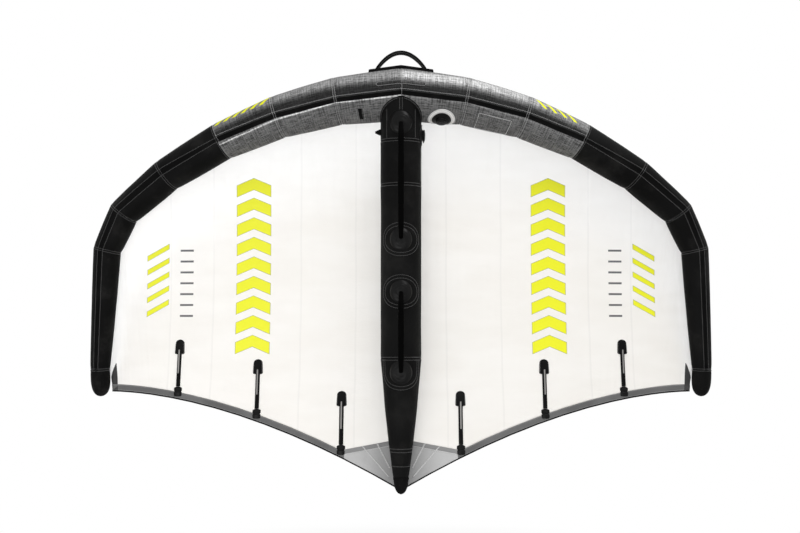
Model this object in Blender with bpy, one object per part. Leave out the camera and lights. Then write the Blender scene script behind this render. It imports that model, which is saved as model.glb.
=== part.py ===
"""Inflatable hand-held wing for foil boards.

The wing hangs upright as seen from the rider's side: +Z runs from the tail up to the leading edge,
X runs along the span, and the strut with its handles faces -Y. Lengths are in metres.
The origin lies where a hand closes round the handle on the leading edge.
"""
import math

import bmesh
import bpy
from mathutils import Matrix, Vector

# Planform, measured from the centre of the leading edge tube
TIP_REACH = 1.373
TIP_DROP = 1.222
TIP_RISE = 0.199
TAIL_DROP = 1.735
TAIL_RISE = 0.050
CORNER_INSET = 0.055
CORNER_FALL = 0.098
CORNER_LIFT = 0.013
CORNER_REACH = TIP_REACH - CORNER_INSET
CORNER_DROP = TIP_DROP + CORNER_FALL
CORNER_RISE = TIP_RISE + CORNER_LIFT
CAMBER_SHARE = 0.036
TRAILING_CURVE_POWER = 1.75

# Leading edge tube
CENTRE_TUBE_RADIUS = 0.1135
TIP_TUBE_RADIUS = 0.0427
TIP_CAP_LENGTH = 0.122
TIP_CAP_TOE_IN = 0.007
TIP_CAP_RISE = 0.005
CASING_WALL = 0.0012
BLADDER_WALL = 0.0006
CANOPY_SEAM_ANGLE = math.radians(135)
REACH_SHARES = (0, 0.206, 0.402, 0.591, 0.776, 0.922, 0.979, 1)
DROP_SHARES = (0, 0.020, 0.074, 0.160, 0.281, 0.418, 0.556, 1)
RISE_SHARES = (0, 0.098, 0.220, 0.366, 0.537, 0.707, 0.805, 1)
SLIM_SHARES = (0, 0.122, 0.266, 0.420, 0.538, 0.668, 0.760, 1)
CAP_LENGTH_SHARES = (0, 0.5, 0.86, 1)
CAP_RADIUS_SHARES = (1, 0.93, 0.76, 0.4)
GREY_LENGTHS = 3

# Closing strip that runs along the leading edge, one value for each seam station
STRIP_THICKNESS = 0.0008
STRIP_WIDTH = 0.016
STRIP_WIDTH_SHARES = (1, 1, 1.05, 1.3, 2.1, 2.4, 2.6, 1.4)
STRIP_ANGLES = (3, 3, 4, 8.5, 14, 30, 34, 30)
STRIP_TURN_STEP = math.radians(5)
BAND_STRANDS = 4

# Strut
STRUT_RADIUS = 0.0909
STRUT_WAIST_RADIUS = 0.0885
STRUT_END_RADIUS = 0.0336
STRUT_OVERLAP = 0.10
STRUT_SEAM_DROPS = (0.203, 0.402, 1.174, 1.682)
STRUT_CAP_LENGTH = 0.070
TAPER_DROP_SHARES = (0, 0.24, 0.44, 0.63, 0.83, 1)
TAPER_RADIUS_SHARES = (1, 0.81, 0.65, 0.45, 0.25, 0)
STRUT_CAP_LENGTH_SHARES = (0, 0.12, 0.8, 1)
STRUT_CAP_RADIUS_SHARES = (1, 1, 0.62, 0.3)
STRUT_BLADDER_START = 0.120

# Canopy and its edges
CANOPY_THICKNESS = 0.0008
TRAILING_BAND_WIDTH = 0.030
TRAILING_RIB_SHARES = (0, 0.19, 0.37, 0.55, 0.72, 0.86, 0.94, 1)
COLUMNS_PER_LENGTH = 2
CANOPY_ROWS = 10
PATCH_COLUMNS = 5
PATCH_ROWS = 4
SEARCH_STEPS = 40
PATCH_THICKNESS = 0.0008
TAIL_PATCH_REACH = 0.244
TAIL_PATCH_TOP_DROP = 1.522
TAIL_PATCH_OUTER_RISE = 0.020

# Battens: reach from the centre line, length, and the parts of each
BATTEN_REACHES = (0.264, 0.645, 1.010)
BATTEN_LENGTHS = (0.276, 0.263, 0.256)
BATTEN_END_MARGIN = 0.010
POCKET_CAP_WIDTH = 0.046
POCKET_CAP_LENGTH = 0.065
SLEEVE_WIDTH = 0.020
SLEEVE_HEIGHT = 0.0068
ROD_RADIUS = 0.0022
FITTING_WIDTH = 0.038
FITTING_LENGTH = 0.044
FITTING_HEIGHT = 0.0086
POCKET_LENGTH_SHARES = (0, 0.04, 0.16, 0.6, 0.98, 1)
POCKET_WIDTH_SHARES = (0.24, 0.55, 0.86, 0.94, 1, 0.435)
FITTING_LENGTH_SHARES = (0, 0.14, 0.42, 0.5, 0.6, 1)
FITTING_WIDTH_SHARES = (0.42, 1, 1, 0.86, 1, 0.9)
FITTING_HEIGHT_SHARES = (0.8, 0.85, 1, 0.8, 1, 0.7)
DOME_ACROSS_SHARES = (-0.5, -0.46, -0.25, 0, 0.25, 0.46, 0.5, 0)
DOME_HEIGHT_SHARES = (0, 0.5, 0.92, 1, 0.92, 0.5, 0, 0)
BORE_ANGLES = (180, 150, 120, 90, 60, 30, 0, 270)

# Handle on the leading edge
HANDLE_FOOT_REACH = 0.109
HANDLE_APEX_HEIGHT = 0.194
HANDLE_THICKNESS = 0.016
HANDLE_WIDTH = 0.038
HANDLE_FOOT_RADIUS = 0.008
HANDLE_FOOT_THICKNESS = 0.006
HANDLE_BASE_REACH = 0.136
HANDLE_BASE_WIDTH = 0.052
HANDLE_BASE_THICKNESS = 0.0045
HANDLE_FOOT_ANGLES = (-75, -45, -15)
HANDLE_ARCH_ANGLES = (12, 28, 45, 60, 75, 90)
HANDLE_FULL_ANGLE = 60

# Handles on the strut and their anchors
ANCHOR_DROPS = (0.140, 0.652, 0.882, 1.226)
ANCHOR_PATCH_ARC = 0.092
ANCHOR_PATCH_RADIUS = 0.0765
ANCHOR_PATCH_THICKNESS = 0.0018
ANCHOR_DOME_RADIUS = 0.050
ANCHOR_TOP_RADIUS = 0.016
ANCHOR_HEIGHT = 0.012
ANCHOR_SINK = 0.006
ANCHOR_PATCH_SHARES = (0.72, 1, 1, 1)
ANCHOR_SHOULDER_SHARE = 0.8
GRIP_RISE = 0.046
GRIP_WIDTH = 0.027
GRIP_THICKNESS = 0.024
GRIP_BEND_LENGTH = 0.060
GRIP_FOOT_RADIUS = 0.009
GRIP_FOOT_THICKNESS = 0.006
GRIP_BEND_ANGLES = (14, 36, 60, 80)
GRIP_STRAIGHT_SHARE = 1.15
GRIP_SIDES = 10

# Inflation valves
VALVE_FLANGE_RADIUS = 0.046
VALVE_FLANGE_THICKNESS = 0.0022
VALVE_COLLAR_RADIUS = 0.024
VALVE_COLLAR_WALL = 0.005
VALVE_COLLAR_HEIGHT = 0.006
VALVE_COLLAR_DEPTH = 0.020
VALVE_PLATE_THICKNESS = 0.003
VALVE_PLUG_RADIUS = 0.0115
VALVE_PLUG_DEPTH = 0.006
VALVE_CAP_RADIUS = 0.026
VALVE_CAP_HEIGHT = 0.007
VALVE_HINGE_REACH = 0.0305
VALVE_KNUCKLE_RADIUS = 0.0024
VALVE_KNUCKLE_LENGTH = 0.006
VALVE_PATCH_RADIUS = 0.064
VALVE_PLUG_TAPER_SHARE = 0.88
VALVE_CAP_RADIUS_SHARES = (1, 1, 0.86, 0.45)
VALVE_CAP_HEIGHT_SHARES = (0, 0.4, 0.8, 1)
VALVE_CAP_ARM_SHARES = (0.08, 0.3)
VALVE_PLATE_ARM_SHARES = (-0.8, -0.2)
VALVE_ARM_ROOT_SHARE = 0.9
KNUCKLE_STEPS = 8
PLATE_KNUCKLE_ARC = (-135, 180)
CAP_KNUCKLE_ARC = (-180, 135)
EDGE_VALVE_REACH = 0.185
EDGE_VALVE_ANGLE = math.radians(74)
STRUT_VALVE_DROP = 0.186

# Webbing loops
WEB_THICKNESS = 0.0016
LEASH_LOOP_REACH = 0.182
LEASH_LOOP_ANGLE = math.radians(55)
LEASH_LOOP_WIDTH = 0.016
LEASH_LOOP_SPAN = 0.044
LEASH_LOOP_RISE = 0.012
SIDE_LOOP_DROP = 0.172
SIDE_LOOP_WIDTH = 0.024
SIDE_LOOP_SPAN = 0.024
SIDE_LOOP_RISE = 0.022
LOOP_STEPS = 7

# Clearances and facets
GAP = 0.0003
PATCH_GAP = 0.0009
CURVE_ALLOWANCE = 0.0004
TUBE_SIDES = 24
BLADDER_SIDES = 8
VALVE_SIDES = 16
ANCHOR_SIDES = 16
SMOOTH_ANGLE = math.radians(40)
CUTTER_MARGIN = 0.010

COLOURS = {
    "heather_grey": ((0.16, 0.16, 0.165), 0.85, 0),
    "black_fabric": ((0.016, 0.016, 0.018), 0.75, 0),
    "canopy_white": ((0.80, 0.77, 0.71), 0.45, 0),
    "band_grey": ((0.20, 0.20, 0.20), 0.7, 0),
    "patch_grey": ((0.42, 0.42, 0.42), 0.7, 0),
    "ring_grey": ((0.55, 0.55, 0.53), 0.6, 0),
    "black_rubber": ((0.02, 0.02, 0.02), 0.5, 0),
    "black_plastic": ((0.025, 0.025, 0.025), 0.35, 0),
    "black_webbing": ((0.02, 0.02, 0.022), 0.8, 0),
    "bladder_film": ((0.62, 0.66, 0.68), 0.25, 0),
}


def material(name):
    """The finish called name, made once and shared by the pieces that have it."""
    found = bpy.data.materials.get(name)
    if found:
        return found
    colour, roughness, metallic = COLOURS[name]
    made = bpy.data.materials.new(name)
    made.use_nodes = True
    shader = made.node_tree.nodes["Principled BSDF"]
    shader.inputs["Base Color"].default_value = (*colour, 1)
    shader.inputs["Roughness"].default_value = roughness
    shader.inputs["Metallic"].default_value = metallic
    return made


def add_piece(name, mesh_builder, finish, origin=(0, 0, 0), smooth=True):
    """Put a finished bmesh into the scene as one named piece with its origin at a chosen point."""
    mesh = bpy.data.meshes.new(name)
    mesh_builder.transform(Matrix.Translation(-Vector(origin)))
    mesh_builder.to_mesh(mesh)
    mesh_builder.free()
    if smooth:
        mesh.shade_smooth()
        mesh.set_sharp_from_angle(angle=SMOOTH_ANGLE)
    mesh.materials.append(material(finish))
    piece = bpy.data.objects.new(name, mesh)
    piece.location = origin
    piece.parent = WING_FRAME
    bpy.context.collection.objects.link(piece)
    return piece


def add_cutter(name, mesh_builder):
    """A shape that only cuts other pieces and is left out of the part."""
    cutter = add_piece(name, mesh_builder, "black_plastic", smooth=False)
    cutter.hide_render = True
    cutter.display_type = "WIRE"
    return cutter


def combine(piece, tool, operation):
    boolean = piece.modifiers.new(operation.lower() + "_" + tool.name, "BOOLEAN")
    boolean.operation = operation
    boolean.solver = "EXACT"
    boolean.object = tool


def cut(piece, cutter):
    combine(piece, cutter, "DIFFERENCE")


def add_loft(builder, rings, closed=False):
    """Skin a row of equal rings; an open row is capped at both ends."""
    rows = [[builder.verts.new(point) for point in ring] for ring in rings]
    pairs = list(zip(rows, rows[1:]))
    if closed:
        pairs.append((rows[-1], rows[0]))
    faces = []
    for near, far in pairs:
        count = len(near)
        for index in range(count):
            after = (index + 1) % count
            faces.append(builder.faces.new((near[index], near[after], far[after], far[index])))
    if not closed:
        faces.append(builder.faces.new(rows[0]))
        faces.append(builder.faces.new(rows[-1]))
    bmesh.ops.recalc_face_normals(builder, faces=faces)
    return faces


def loft(rings, closed=False):
    builder = bmesh.new()
    add_loft(builder, rings, closed)
    return builder


def add_hollow(outer_rings, inner_rings):
    """A closed skin with a closed space inside it, to be opened by a later cut."""
    builder = bmesh.new()
    add_loft(builder, outer_rings)
    inner_faces = add_loft(builder, inner_rings)
    bmesh.ops.reverse_faces(builder, faces=inner_faces)
    return builder


def ramp(value, places, heights):
    """Straight-line reading of a table at one value."""
    for (left, right), (low, high) in zip(zip(places, places[1:]), zip(heights, heights[1:])):
        if value <= right:
            share = max(0, (value - left) / (right - left))
            return low + (high - low) * share
    return heights[-1]


class Tube:
    """Straight tapering lengths of tube that meet in mitred seams."""

    def __init__(self, centres, radii, first_mitre, underside):
        self.centres = [Vector(centre) for centre in centres]
        self.radii = list(radii)
        steps = [after - before for before, after in zip(self.centres, self.centres[1:])]
        self.lengths = [step.length for step in steps]
        self.ways = [step.normalized() for step in steps]
        self.mitres = [Vector(first_mitre).normalized()]
        for before, after in zip(self.ways, self.ways[1:]):
            self.mitres.append((before + after).normalized())
        self.mitres.append(self.ways[-1])
        way = self.ways[0]
        side = Vector(underside)
        side = (side - way * side.dot(way)).normalized()
        front = Vector((0, -1, 0))
        front = (front - way * front.dot(way) - side * front.dot(side)).normalized()
        self.fronts = [front]
        self.sides = [side]
        for mitre in self.mitres[1:-1]:
            self.fronts.append(self.fronts[-1] - mitre * (2 * self.fronts[-1].dot(mitre)))
            self.sides.append(self.sides[-1] - mitre * (2 * self.sides[-1].dot(mitre)))

    def outward(self, length, angle):
        """Direction out of the tube at an angle from its front line towards its trailing side."""
        return self.fronts[length] * math.cos(angle) + self.sides[length] * math.sin(angle)

    def seam_point(self, station, angle, height=0.0, setback=0.0):
        """Point on a mitred seam; a negative setback lies on the length before it."""
        length = station if setback > 0 or station == 0 else station - 1
        length = min(length, len(self.ways) - 1)
        way = self.ways[length]
        mitre = self.mitres[station]
        out = self.outward(length, angle)
        slanted = out - way * (out.dot(mitre) / way.dot(mitre))
        return self.centres[station] + slanted * (self.radii[station] + height) + way * setback

    def seam_ring(self, station, height=0.0, setback=0.0, sides=TUBE_SIDES):
        angles = [2 * math.pi * index / sides for index in range(sides)]
        return [self.seam_point(station, angle, height, setback) for angle in angles]

    def square_ring(self, length, distance, radius, sides=TUBE_SIDES):
        centre = self.centres[length] + self.ways[length] * distance
        angles = [2 * math.pi * index / sides for index in range(sides)]
        return [centre + self.outward(length, angle) * radius for angle in angles]

    def radius_at(self, length, distance):
        share = distance / self.lengths[length]
        return self.radii[length] + (self.radii[length + 1] - self.radii[length]) * share

    def skin(self, length, distance, angle, height=0.0):
        """Point at a height over the skin of one length."""
        radius = self.radius_at(length, distance)
        centre = self.centres[length] + self.ways[length] * distance
        return centre + self.outward(length, angle) * (radius + height)

    def place(self, length, distance):
        """The length and distance that a run past the end of a length falls on."""
        while distance > self.lengths[length] and length < len(self.lengths) - 1:
            distance -= self.lengths[length]
            length += 1
        while distance < 0 and length > 0:
            length -= 1
            distance += self.lengths[length]
        return length, distance

    def at_drop(self, drop):
        """The length and distance at which the tube's axis is this far down."""
        for length, (before, after) in enumerate(zip(self.centres, self.centres[1:])):
            if -after.z >= drop:
                return length, self.lengths[length] * (drop + before.z) / (before.z - after.z)
        return len(self.lengths) - 1, self.lengths[-1]

    def at_reach(self, reach):
        """The length and distance at which the tube's axis is this far from the centre line."""
        for length, (before, after) in enumerate(zip(self.centres, self.centres[1:])):
            if abs(after.x) >= reach:
                share = (reach - abs(before.x)) / (abs(after.x) - abs(before.x))
                return length, self.lengths[length] * share
        return len(self.lengths) - 1, 0.0

    def wrapped(self, length, distance, angle, along, around, height):
        """Point of a flat patch wrapped on the tube, at its own offsets along and around it."""
        radius = self.radius_at(length, distance)
        length, distance = self.place(length, distance + along)
        return self.skin(length, distance, angle + around / radius, height)


def leading_edge(way):
    """The leading edge tube on one side of the centre seam; way is +1 for +X."""
    centres = [
        (way * TIP_REACH * reach, TIP_RISE * rise, -TIP_DROP * drop)
        for reach, rise, drop in zip(REACH_SHARES, RISE_SHARES, DROP_SHARES)
    ]
    radii = [
        CENTRE_TUBE_RADIUS + (TIP_TUBE_RADIUS - CENTRE_TUBE_RADIUS) * share for share in SLIM_SHARES
    ]
    tip = (
        way * (TIP_REACH - TIP_CAP_TOE_IN),
        TIP_RISE + TIP_CAP_RISE,
        -TIP_DROP - TIP_CAP_LENGTH,
    )
    last_radius = TIP_TUBE_RADIUS * CAP_RADIUS_SHARES[-1]
    return Tube(centres + [tip], radii + [last_radius], (way, 0, 0), (0, 0, -1))


def tip_cap_rings(edge, inset, sides=TUBE_SIDES):
    """Rings of the rounded tip, drawn in by an inset on the sides and the end."""
    last = len(edge.lengths) - 1
    reach = edge.lengths[last] - inset
    rings = [edge.seam_ring(last, -inset, sides=sides)]
    for along, slim in zip(CAP_LENGTH_SHARES[1:], CAP_RADIUS_SHARES[1:]):
        radius = (TIP_TUBE_RADIUS - inset) * slim
        rings.append(edge.square_ring(last, reach * along, radius, sides))
    return rings


def build_leading_edge_casing(side, edge):
    """Sewn tube lengths, each an open shell, and the rounded cap on the tip."""
    half = GAP / 2
    panels = []
    for station in range(len(edge.lengths) - 1):
        grey = station < GREY_LENGTHS
        rings = [
            edge.seam_ring(station, setback=half),
            edge.seam_ring(station + 1, setback=-half),
            edge.seam_ring(station + 1, -CASING_WALL, -half),
            edge.seam_ring(station, -CASING_WALL, half),
        ]
        name = f"leading_edge_panel_{side}_{station + 1}"
        finish = "heather_grey" if grey else "black_fabric"
        panels.append(add_piece(name, loft(rings, closed=True), finish))
    last = len(edge.lengths) - 1
    shift = edge.ways[last] * half
    outer = tip_cap_rings(edge, 0)
    inner = tip_cap_rings(edge, CASING_WALL)
    outer[0] = [point + shift for point in outer[0]]
    inner[0] = [point + shift for point in inner[0]]
    add_piece(f"tip_cap_{side}", loft(inner[::-1] + outer), "black_fabric")
    return panels


def build_closing_strip(side, edge):
    """Flat band sewn over the long seam, wider where the tube is slim."""
    widths = [STRIP_WIDTH * share for share in STRIP_WIDTH_SHARES]
    angles = [-math.radians(degrees) for degrees in STRIP_ANGLES]
    last = len(angles) - 1
    rings = []

    def strip_ring(radius, middle, width, drift, point_at):
        step = width / radius / BAND_STRANDS
        seat = (radius + GAP) / math.cos((step + drift) / 2) - radius
        turns = [middle + step * (index - BAND_STRANDS / 2) for index in range(BAND_STRANDS + 1)]
        under = [point_at(turn, seat) for turn in turns]
        over = [point_at(turn, seat + STRIP_THICKNESS) for turn in turns]
        return under + over[::-1]

    for station in range(last):
        turn = angles[station + 1] - angles[station]
        steps = max(1, math.ceil(abs(turn) / STRIP_TURN_STEP))
        drift = abs(turn) / steps
        # The band starts clear of the centre seam
        setback = GAP if station == 0 else 0
        rings.append(strip_ring(
            edge.radii[station], angles[station], widths[station], drift,
            lambda angle, height: edge.seam_point(station, angle, height, setback),
        ))
        for step in range(1, steps):
            share = step / steps
            distance = edge.lengths[station] * share
            middle = angles[station] + turn * share
            width = widths[station] + (widths[station + 1] - widths[station]) * share
            rings.append(strip_ring(
                edge.radius_at(station, distance), middle, width, drift,
                lambda angle, height: edge.skin(station, distance, angle, height),
            ))
    rings.append(strip_ring(
        edge.radii[last], angles[last], widths[last], 0,
        lambda angle, height: edge.seam_point(last, angle, height, -GAP),
    ))
    add_piece(f"leading_edge_strip_{side}", loft(rings), "black_fabric")


def build_leading_edge_bladder(edges, valve_cutter):
    """Air bladder that runs from tip to tip inside the casing."""
    skins = []
    for inset in (CASING_WALL + GAP, CASING_WALL + GAP + BLADDER_WALL):
        halves = {}
        for way, edge in edges.items():
            stations = range(1, len(edge.lengths) - 1)
            halves[way] = [edge.seam_ring(index, -inset, sides=BLADDER_SIDES) for index in stations]
            halves[way] += tip_cap_rings(edge, inset, BLADDER_SIDES)
        centre = edges[1].seam_ring(0, -inset, sides=BLADDER_SIDES)
        skins.append(halves[-1][::-1] + [centre] + halves[1])
    bladder = add_piece("leading_edge_bladder", add_hollow(*skins), "bladder_film")
    cut(bladder, valve_cutter)


def trailing_point(share, way):
    """Point on the trailing edge curve, from the tail at 0 to the tip corner at 1."""
    lift = 1 - (1 - share) ** TRAILING_CURVE_POWER
    return Vector((
        way * CORNER_REACH * share,
        TAIL_RISE + (CORNER_RISE - TAIL_RISE) * share,
        -TAIL_DROP + (TAIL_DROP - CORNER_DROP) * lift,
    ))


class Canopy:
    """Cambered sheet on one side of the wing, ruled from the leading edge to the trailing edge."""

    def __init__(self, edge, way):
        self.way = way
        seat = GAP + CANOPY_THICKNESS / 2
        stations = range(len(TRAILING_RIB_SHARES))
        heads = [edge.seam_point(station, CANOPY_SEAM_ANGLE, seat) for station in stations]
        feet = [trailing_point(share, way) for share in TRAILING_RIB_SHARES]
        self.heads = []
        self.feet = []
        for index in range(len(heads) - 1):
            for step in range(COLUMNS_PER_LENGTH):
                share = step / COLUMNS_PER_LENGTH
                low, high = TRAILING_RIB_SHARES[index], TRAILING_RIB_SHARES[index + 1]
                self.heads.append(heads[index].lerp(heads[index + 1], share))
                self.feet.append(trailing_point(low + (high - low) * share, way))
        self.heads.append(heads[-1])
        self.feet.append(feet[-1])
        for line in (self.heads, self.feet):
            line[0].x += way * GAP / 2

    def rib_point(self, rib, share):
        """Point on a rib; rib may fall between two columns."""
        left = min(int(rib), len(self.heads) - 2)
        part = rib - left
        head = self.heads[left].lerp(self.heads[left + 1], part)
        foot = self.feet[left].lerp(self.feet[left + 1], part)
        point = head.lerp(foot, share)
        point.y += 4 * CAMBER_SHARE * (foot - head).length * share * (1 - share)
        return point

    def band_share(self, rib):
        """Share of the rib at which the trailing band begins."""
        chord = (self.rib_point(rib, 1) - self.rib_point(rib, 0)).length
        return 1 - TRAILING_BAND_WIDTH / chord

    def find(self, reach, drop):
        """The rib and share that lie at a reach and a drop."""
        low, high = 0.0, float(len(self.heads) - 1)
        for _ in range(SEARCH_STEPS):
            rib = (low + high) / 2
            head, foot = self.rib_point(rib, 0), self.rib_point(rib, 1)
            share = (head.z + drop) / (head.z - foot.z)
            if abs(head.lerp(foot, share).x) < reach:
                low = rib
            else:
                high = rib
        return rib, share

    def over(self, reach, drop, height):
        """Point at a height over the rider's face of the sheet."""
        rib, share = self.find(reach, drop)
        point = self.rib_point(rib, share)
        nudge = TRAILING_BAND_WIDTH / 2
        across = self.rib_point(*self.find(reach + nudge, drop)) - point
        along = self.rib_point(*self.find(reach, drop - nudge)) - point
        out = across.cross(along).normalized()
        if out.y > 0:
            out = -out
        return point + out * (CANOPY_THICKNESS / 2 + height)


def add_sheet(name, grid, finish, thickness):
    """Thin closed sheet about a grid of points."""
    builder = bmesh.new()
    rows = [[builder.verts.new(point) for point in row] for row in grid]
    for near, far in zip(rows, rows[1:]):
        for index in range(len(near) - 1):
            builder.faces.new((near[index], near[index + 1], far[index + 1], far[index]))
    bmesh.ops.recalc_face_normals(builder, faces=builder.faces)
    sheet = add_piece(name, builder, finish)
    solidify = sheet.modifiers.new("thickness", "SOLIDIFY")
    solidify.thickness = thickness
    solidify.offset = 0
    solidify.use_even_offset = True
    return sheet


def build_canopy(side, canopy):
    ribs = range(len(canopy.heads))
    cloth = []
    for row in range(CANOPY_ROWS + 1):
        share = row / CANOPY_ROWS
        cloth.append([canopy.rib_point(rib, canopy.band_share(rib) * share) for rib in ribs])
    add_sheet(f"canopy_{side}", cloth, "canopy_white", CANOPY_THICKNESS)
    band = []
    for step in (0, 1):
        line = []
        for rib in ribs:
            chord = (canopy.rib_point(rib, 1) - canopy.rib_point(rib, 0)).length
            start = canopy.band_share(rib) + GAP / chord
            line.append(canopy.rib_point(rib, start + (1 - start) * step))
        band.append(line)
    add_sheet(f"trailing_band_{side}", band, "band_grey", CANOPY_THICKNESS)


def trailing_drop(reach):
    share = reach / CORNER_REACH
    lift = 1 - (1 - share) ** TRAILING_CURVE_POWER
    return TAIL_DROP - (TAIL_DROP - CORNER_DROP) * lift


def build_tail_patch(side, canopy):
    """Triangular reinforcement between the trailing edge and the tail of the strut."""
    inner_reach = STRUT_END_RADIUS / 2
    seat = GAP + CURVE_ALLOWANCE + PATCH_THICKNESS / 2
    grid = []
    for row in range(PATCH_ROWS + 1):
        line = []
        for column in range(PATCH_COLUMNS + 1):
            across = column / PATCH_COLUMNS
            reach = inner_reach + (TAIL_PATCH_REACH - inner_reach) * across
            top = TAIL_PATCH_TOP_DROP + TAIL_PATCH_OUTER_RISE * across
            low = trailing_drop(reach) - PATCH_THICKNESS
            drop = top + (low - top) * row / PATCH_ROWS
            line.append(canopy.over(reach, drop, seat))
        grid.append(line)
    add_sheet(f"tail_patch_{side}", grid, "patch_grey", PATCH_THICKNESS)


def strip_frame(canopy, reach, drop, height):
    """Centre, sideways and outward directions of a strip laid down the canopy."""
    centre = canopy.over(reach, drop, height)
    above = canopy.over(reach, drop, height + SLEEVE_HEIGHT)
    out = (above - centre).normalized()
    down = canopy.over(reach, drop + SLEEVE_HEIGHT, height) - centre
    across = down.cross(out).normalized()
    return centre, across, out


def half_round(centre, across, out, width, height):
    """Low domed cross-section that stands on the canopy."""
    return [
        centre + across * (width * x) + out * (height * y)
        for x, y in zip(DOME_ACROSS_SHARES, DOME_HEIGHT_SHARES)
    ]


def bore_ring(centre, across, out, radius, lift):
    """Eight-sided channel ring matched to the points of the half-round outline."""
    ring = []
    for degrees in BORE_ANGLES:
        angle = math.radians(degrees)
        height = lift + radius * math.sin(angle)
        ring.append(centre + across * (radius * math.cos(angle)) + out * height)
    return ring


def build_batten(side, index, canopy):
    """Sewn pocket, glass fibre rod and moulded end that tensions the trailing edge."""
    reach = BATTEN_REACHES[index]
    length = BATTEN_LENGTHS[index]
    bottom = trailing_drop(reach) - BATTEN_END_MARGIN
    top = bottom - length
    seat = GAP + CURVE_ALLOWANCE
    lift = SLEEVE_HEIGHT / 2
    pocket_end = bottom - FITTING_LENGTH
    rings = []
    for along, wide in zip(POCKET_LENGTH_SHARES, POCKET_WIDTH_SHARES):
        frame = strip_frame(canopy, reach, top + POCKET_CAP_LENGTH * along, seat)
        rings.append(half_round(*frame, POCKET_CAP_WIDTH * wide, SLEEVE_HEIGHT))
    sleeve_top = top + POCKET_CAP_LENGTH
    for share in (0.5, 1):
        frame = strip_frame(canopy, reach, sleeve_top + (pocket_end - sleeve_top) * share, seat)
        rings.append(half_round(*frame, SLEEVE_WIDTH, SLEEVE_HEIGHT))
    bore_radius = ROD_RADIUS / math.cos(math.pi / len(BORE_ANGLES)) + GAP
    bore = []
    for share in (1, 0.5, 0):
        frame = strip_frame(canopy, reach, sleeve_top + (pocket_end - sleeve_top) * share, seat)
        bore.append(bore_ring(*frame, bore_radius, lift))
    add_piece(f"batten_pocket_{side}_{index + 1}", loft(rings + bore), "black_fabric")

    rod = []
    for share in (0.5, 0):
        drop = sleeve_top + (pocket_end - sleeve_top) * share
        drop += GAP if share == 0 else 0
        rod.append(bore_ring(*strip_frame(canopy, reach, drop, seat), ROD_RADIUS, lift))
    rod.reverse()
    fitting = []
    for along, wide, high in zip(FITTING_LENGTH_SHARES, FITTING_WIDTH_SHARES, FITTING_HEIGHT_SHARES):
        frame = strip_frame(canopy, reach, pocket_end + GAP + FITTING_LENGTH * along, seat)
        fitting.append(half_round(*frame, FITTING_WIDTH * wide, FITTING_HEIGHT * high))
    neck = strip_frame(canopy, reach, pocket_end + GAP, seat)
    rod.append(bore_ring(*neck, ROD_RADIUS, lift))
    add_piece(f"batten_rod_{side}_{index + 1}", loft(rod + fitting), "black_plastic")


def strut_radius(drop):
    waist = STRUT_SEAM_DROPS[2]
    end = STRUT_SEAM_DROPS[3]
    if drop <= waist:
        return STRUT_RADIUS + (STRUT_WAIST_RADIUS - STRUT_RADIUS) * max(0, drop) / waist
    share = ramp((drop - waist) / (end - waist), TAPER_DROP_SHARES, TAPER_RADIUS_SHARES)
    return STRUT_END_RADIUS + (STRUT_WAIST_RADIUS - STRUT_END_RADIUS) * share


def strut_tube(canopy):
    """Strut laid along the centre rib of the canopy, and the station of each of its seams."""
    band = canopy.band_share(0)
    rows = [canopy.rib_point(0, band * row / CANOPY_ROWS) for row in range(CANOPY_ROWS + 1)]
    rows.append(canopy.rib_point(0, 1))
    drops = [-point.z for point in rows]
    depths = [point.y for point in rows]
    slope = (depths[1] - depths[0]) / (drops[1] - drops[0])
    start = drops[0] - STRUT_OVERLAP
    kept = [start] + [drop for drop in drops if drop < STRUT_SEAM_DROPS[-1]]
    # Rows that fall close to a seam give way to it
    spacing = STRUT_CAP_LENGTH / 2
    stations = sorted(STRUT_SEAM_DROPS + tuple(
        drop for drop in kept if all(abs(drop - seam) > spacing for seam in STRUT_SEAM_DROPS)
    ))

    def depth(drop):
        if drop < drops[0]:
            return depths[0] + slope * (drop - drops[0])
        return ramp(drop, drops, depths)

    end_drop = STRUT_SEAM_DROPS[-1] + STRUT_CAP_LENGTH
    stations.append(end_drop)
    spine = [Vector((0, depth(drop), -drop)) for drop in stations]
    ways = [(after - before).normalized() for before, after in zip(spine, spine[1:])]
    centres = []
    seat = GAP + CANOPY_THICKNESS / 2
    for index, drop in enumerate(stations):
        before = ways[max(0, index - 1)]
        after = ways[min(index, len(ways) - 1)]
        way = (before + after).normalized()
        out = Vector((0, way.z, -way.y))
        half_turn = before.angle(after) / 2
        centres.append(spine[index] + out * ((strut_radius(drop) + seat) / math.cos(half_turn)))
    radii = [strut_radius(drop) for drop in stations]
    tube = Tube(centres, radii, ways[0], (1, 0, 0))
    return tube, [stations.index(seam) for seam in STRUT_SEAM_DROPS], stations


def strut_rings(tube, first, last, inset):
    """Rings from one seam to another, with half a gap kept at both ends."""
    half = GAP / 2
    rings = [tube.seam_ring(first, -inset, half)]
    rings += [tube.seam_ring(index, -inset) for index in range(first + 1, last)]
    rings.append(tube.seam_ring(last, -inset, -half))
    return rings


def strut_cap_rings(tube, inset):
    last = len(tube.lengths) - 1
    reach = tube.lengths[last] - inset
    rings = [[p + tube.ways[last] * (GAP / 2) for p in tube.seam_ring(last, -inset)]]
    for along, slim in zip(STRUT_CAP_LENGTH_SHARES[1:], STRUT_CAP_RADIUS_SHARES[1:]):
        radius = (tube.radii[last] - inset) * slim
        rings.append(tube.square_ring(last, reach * along, radius))
    return rings


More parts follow.
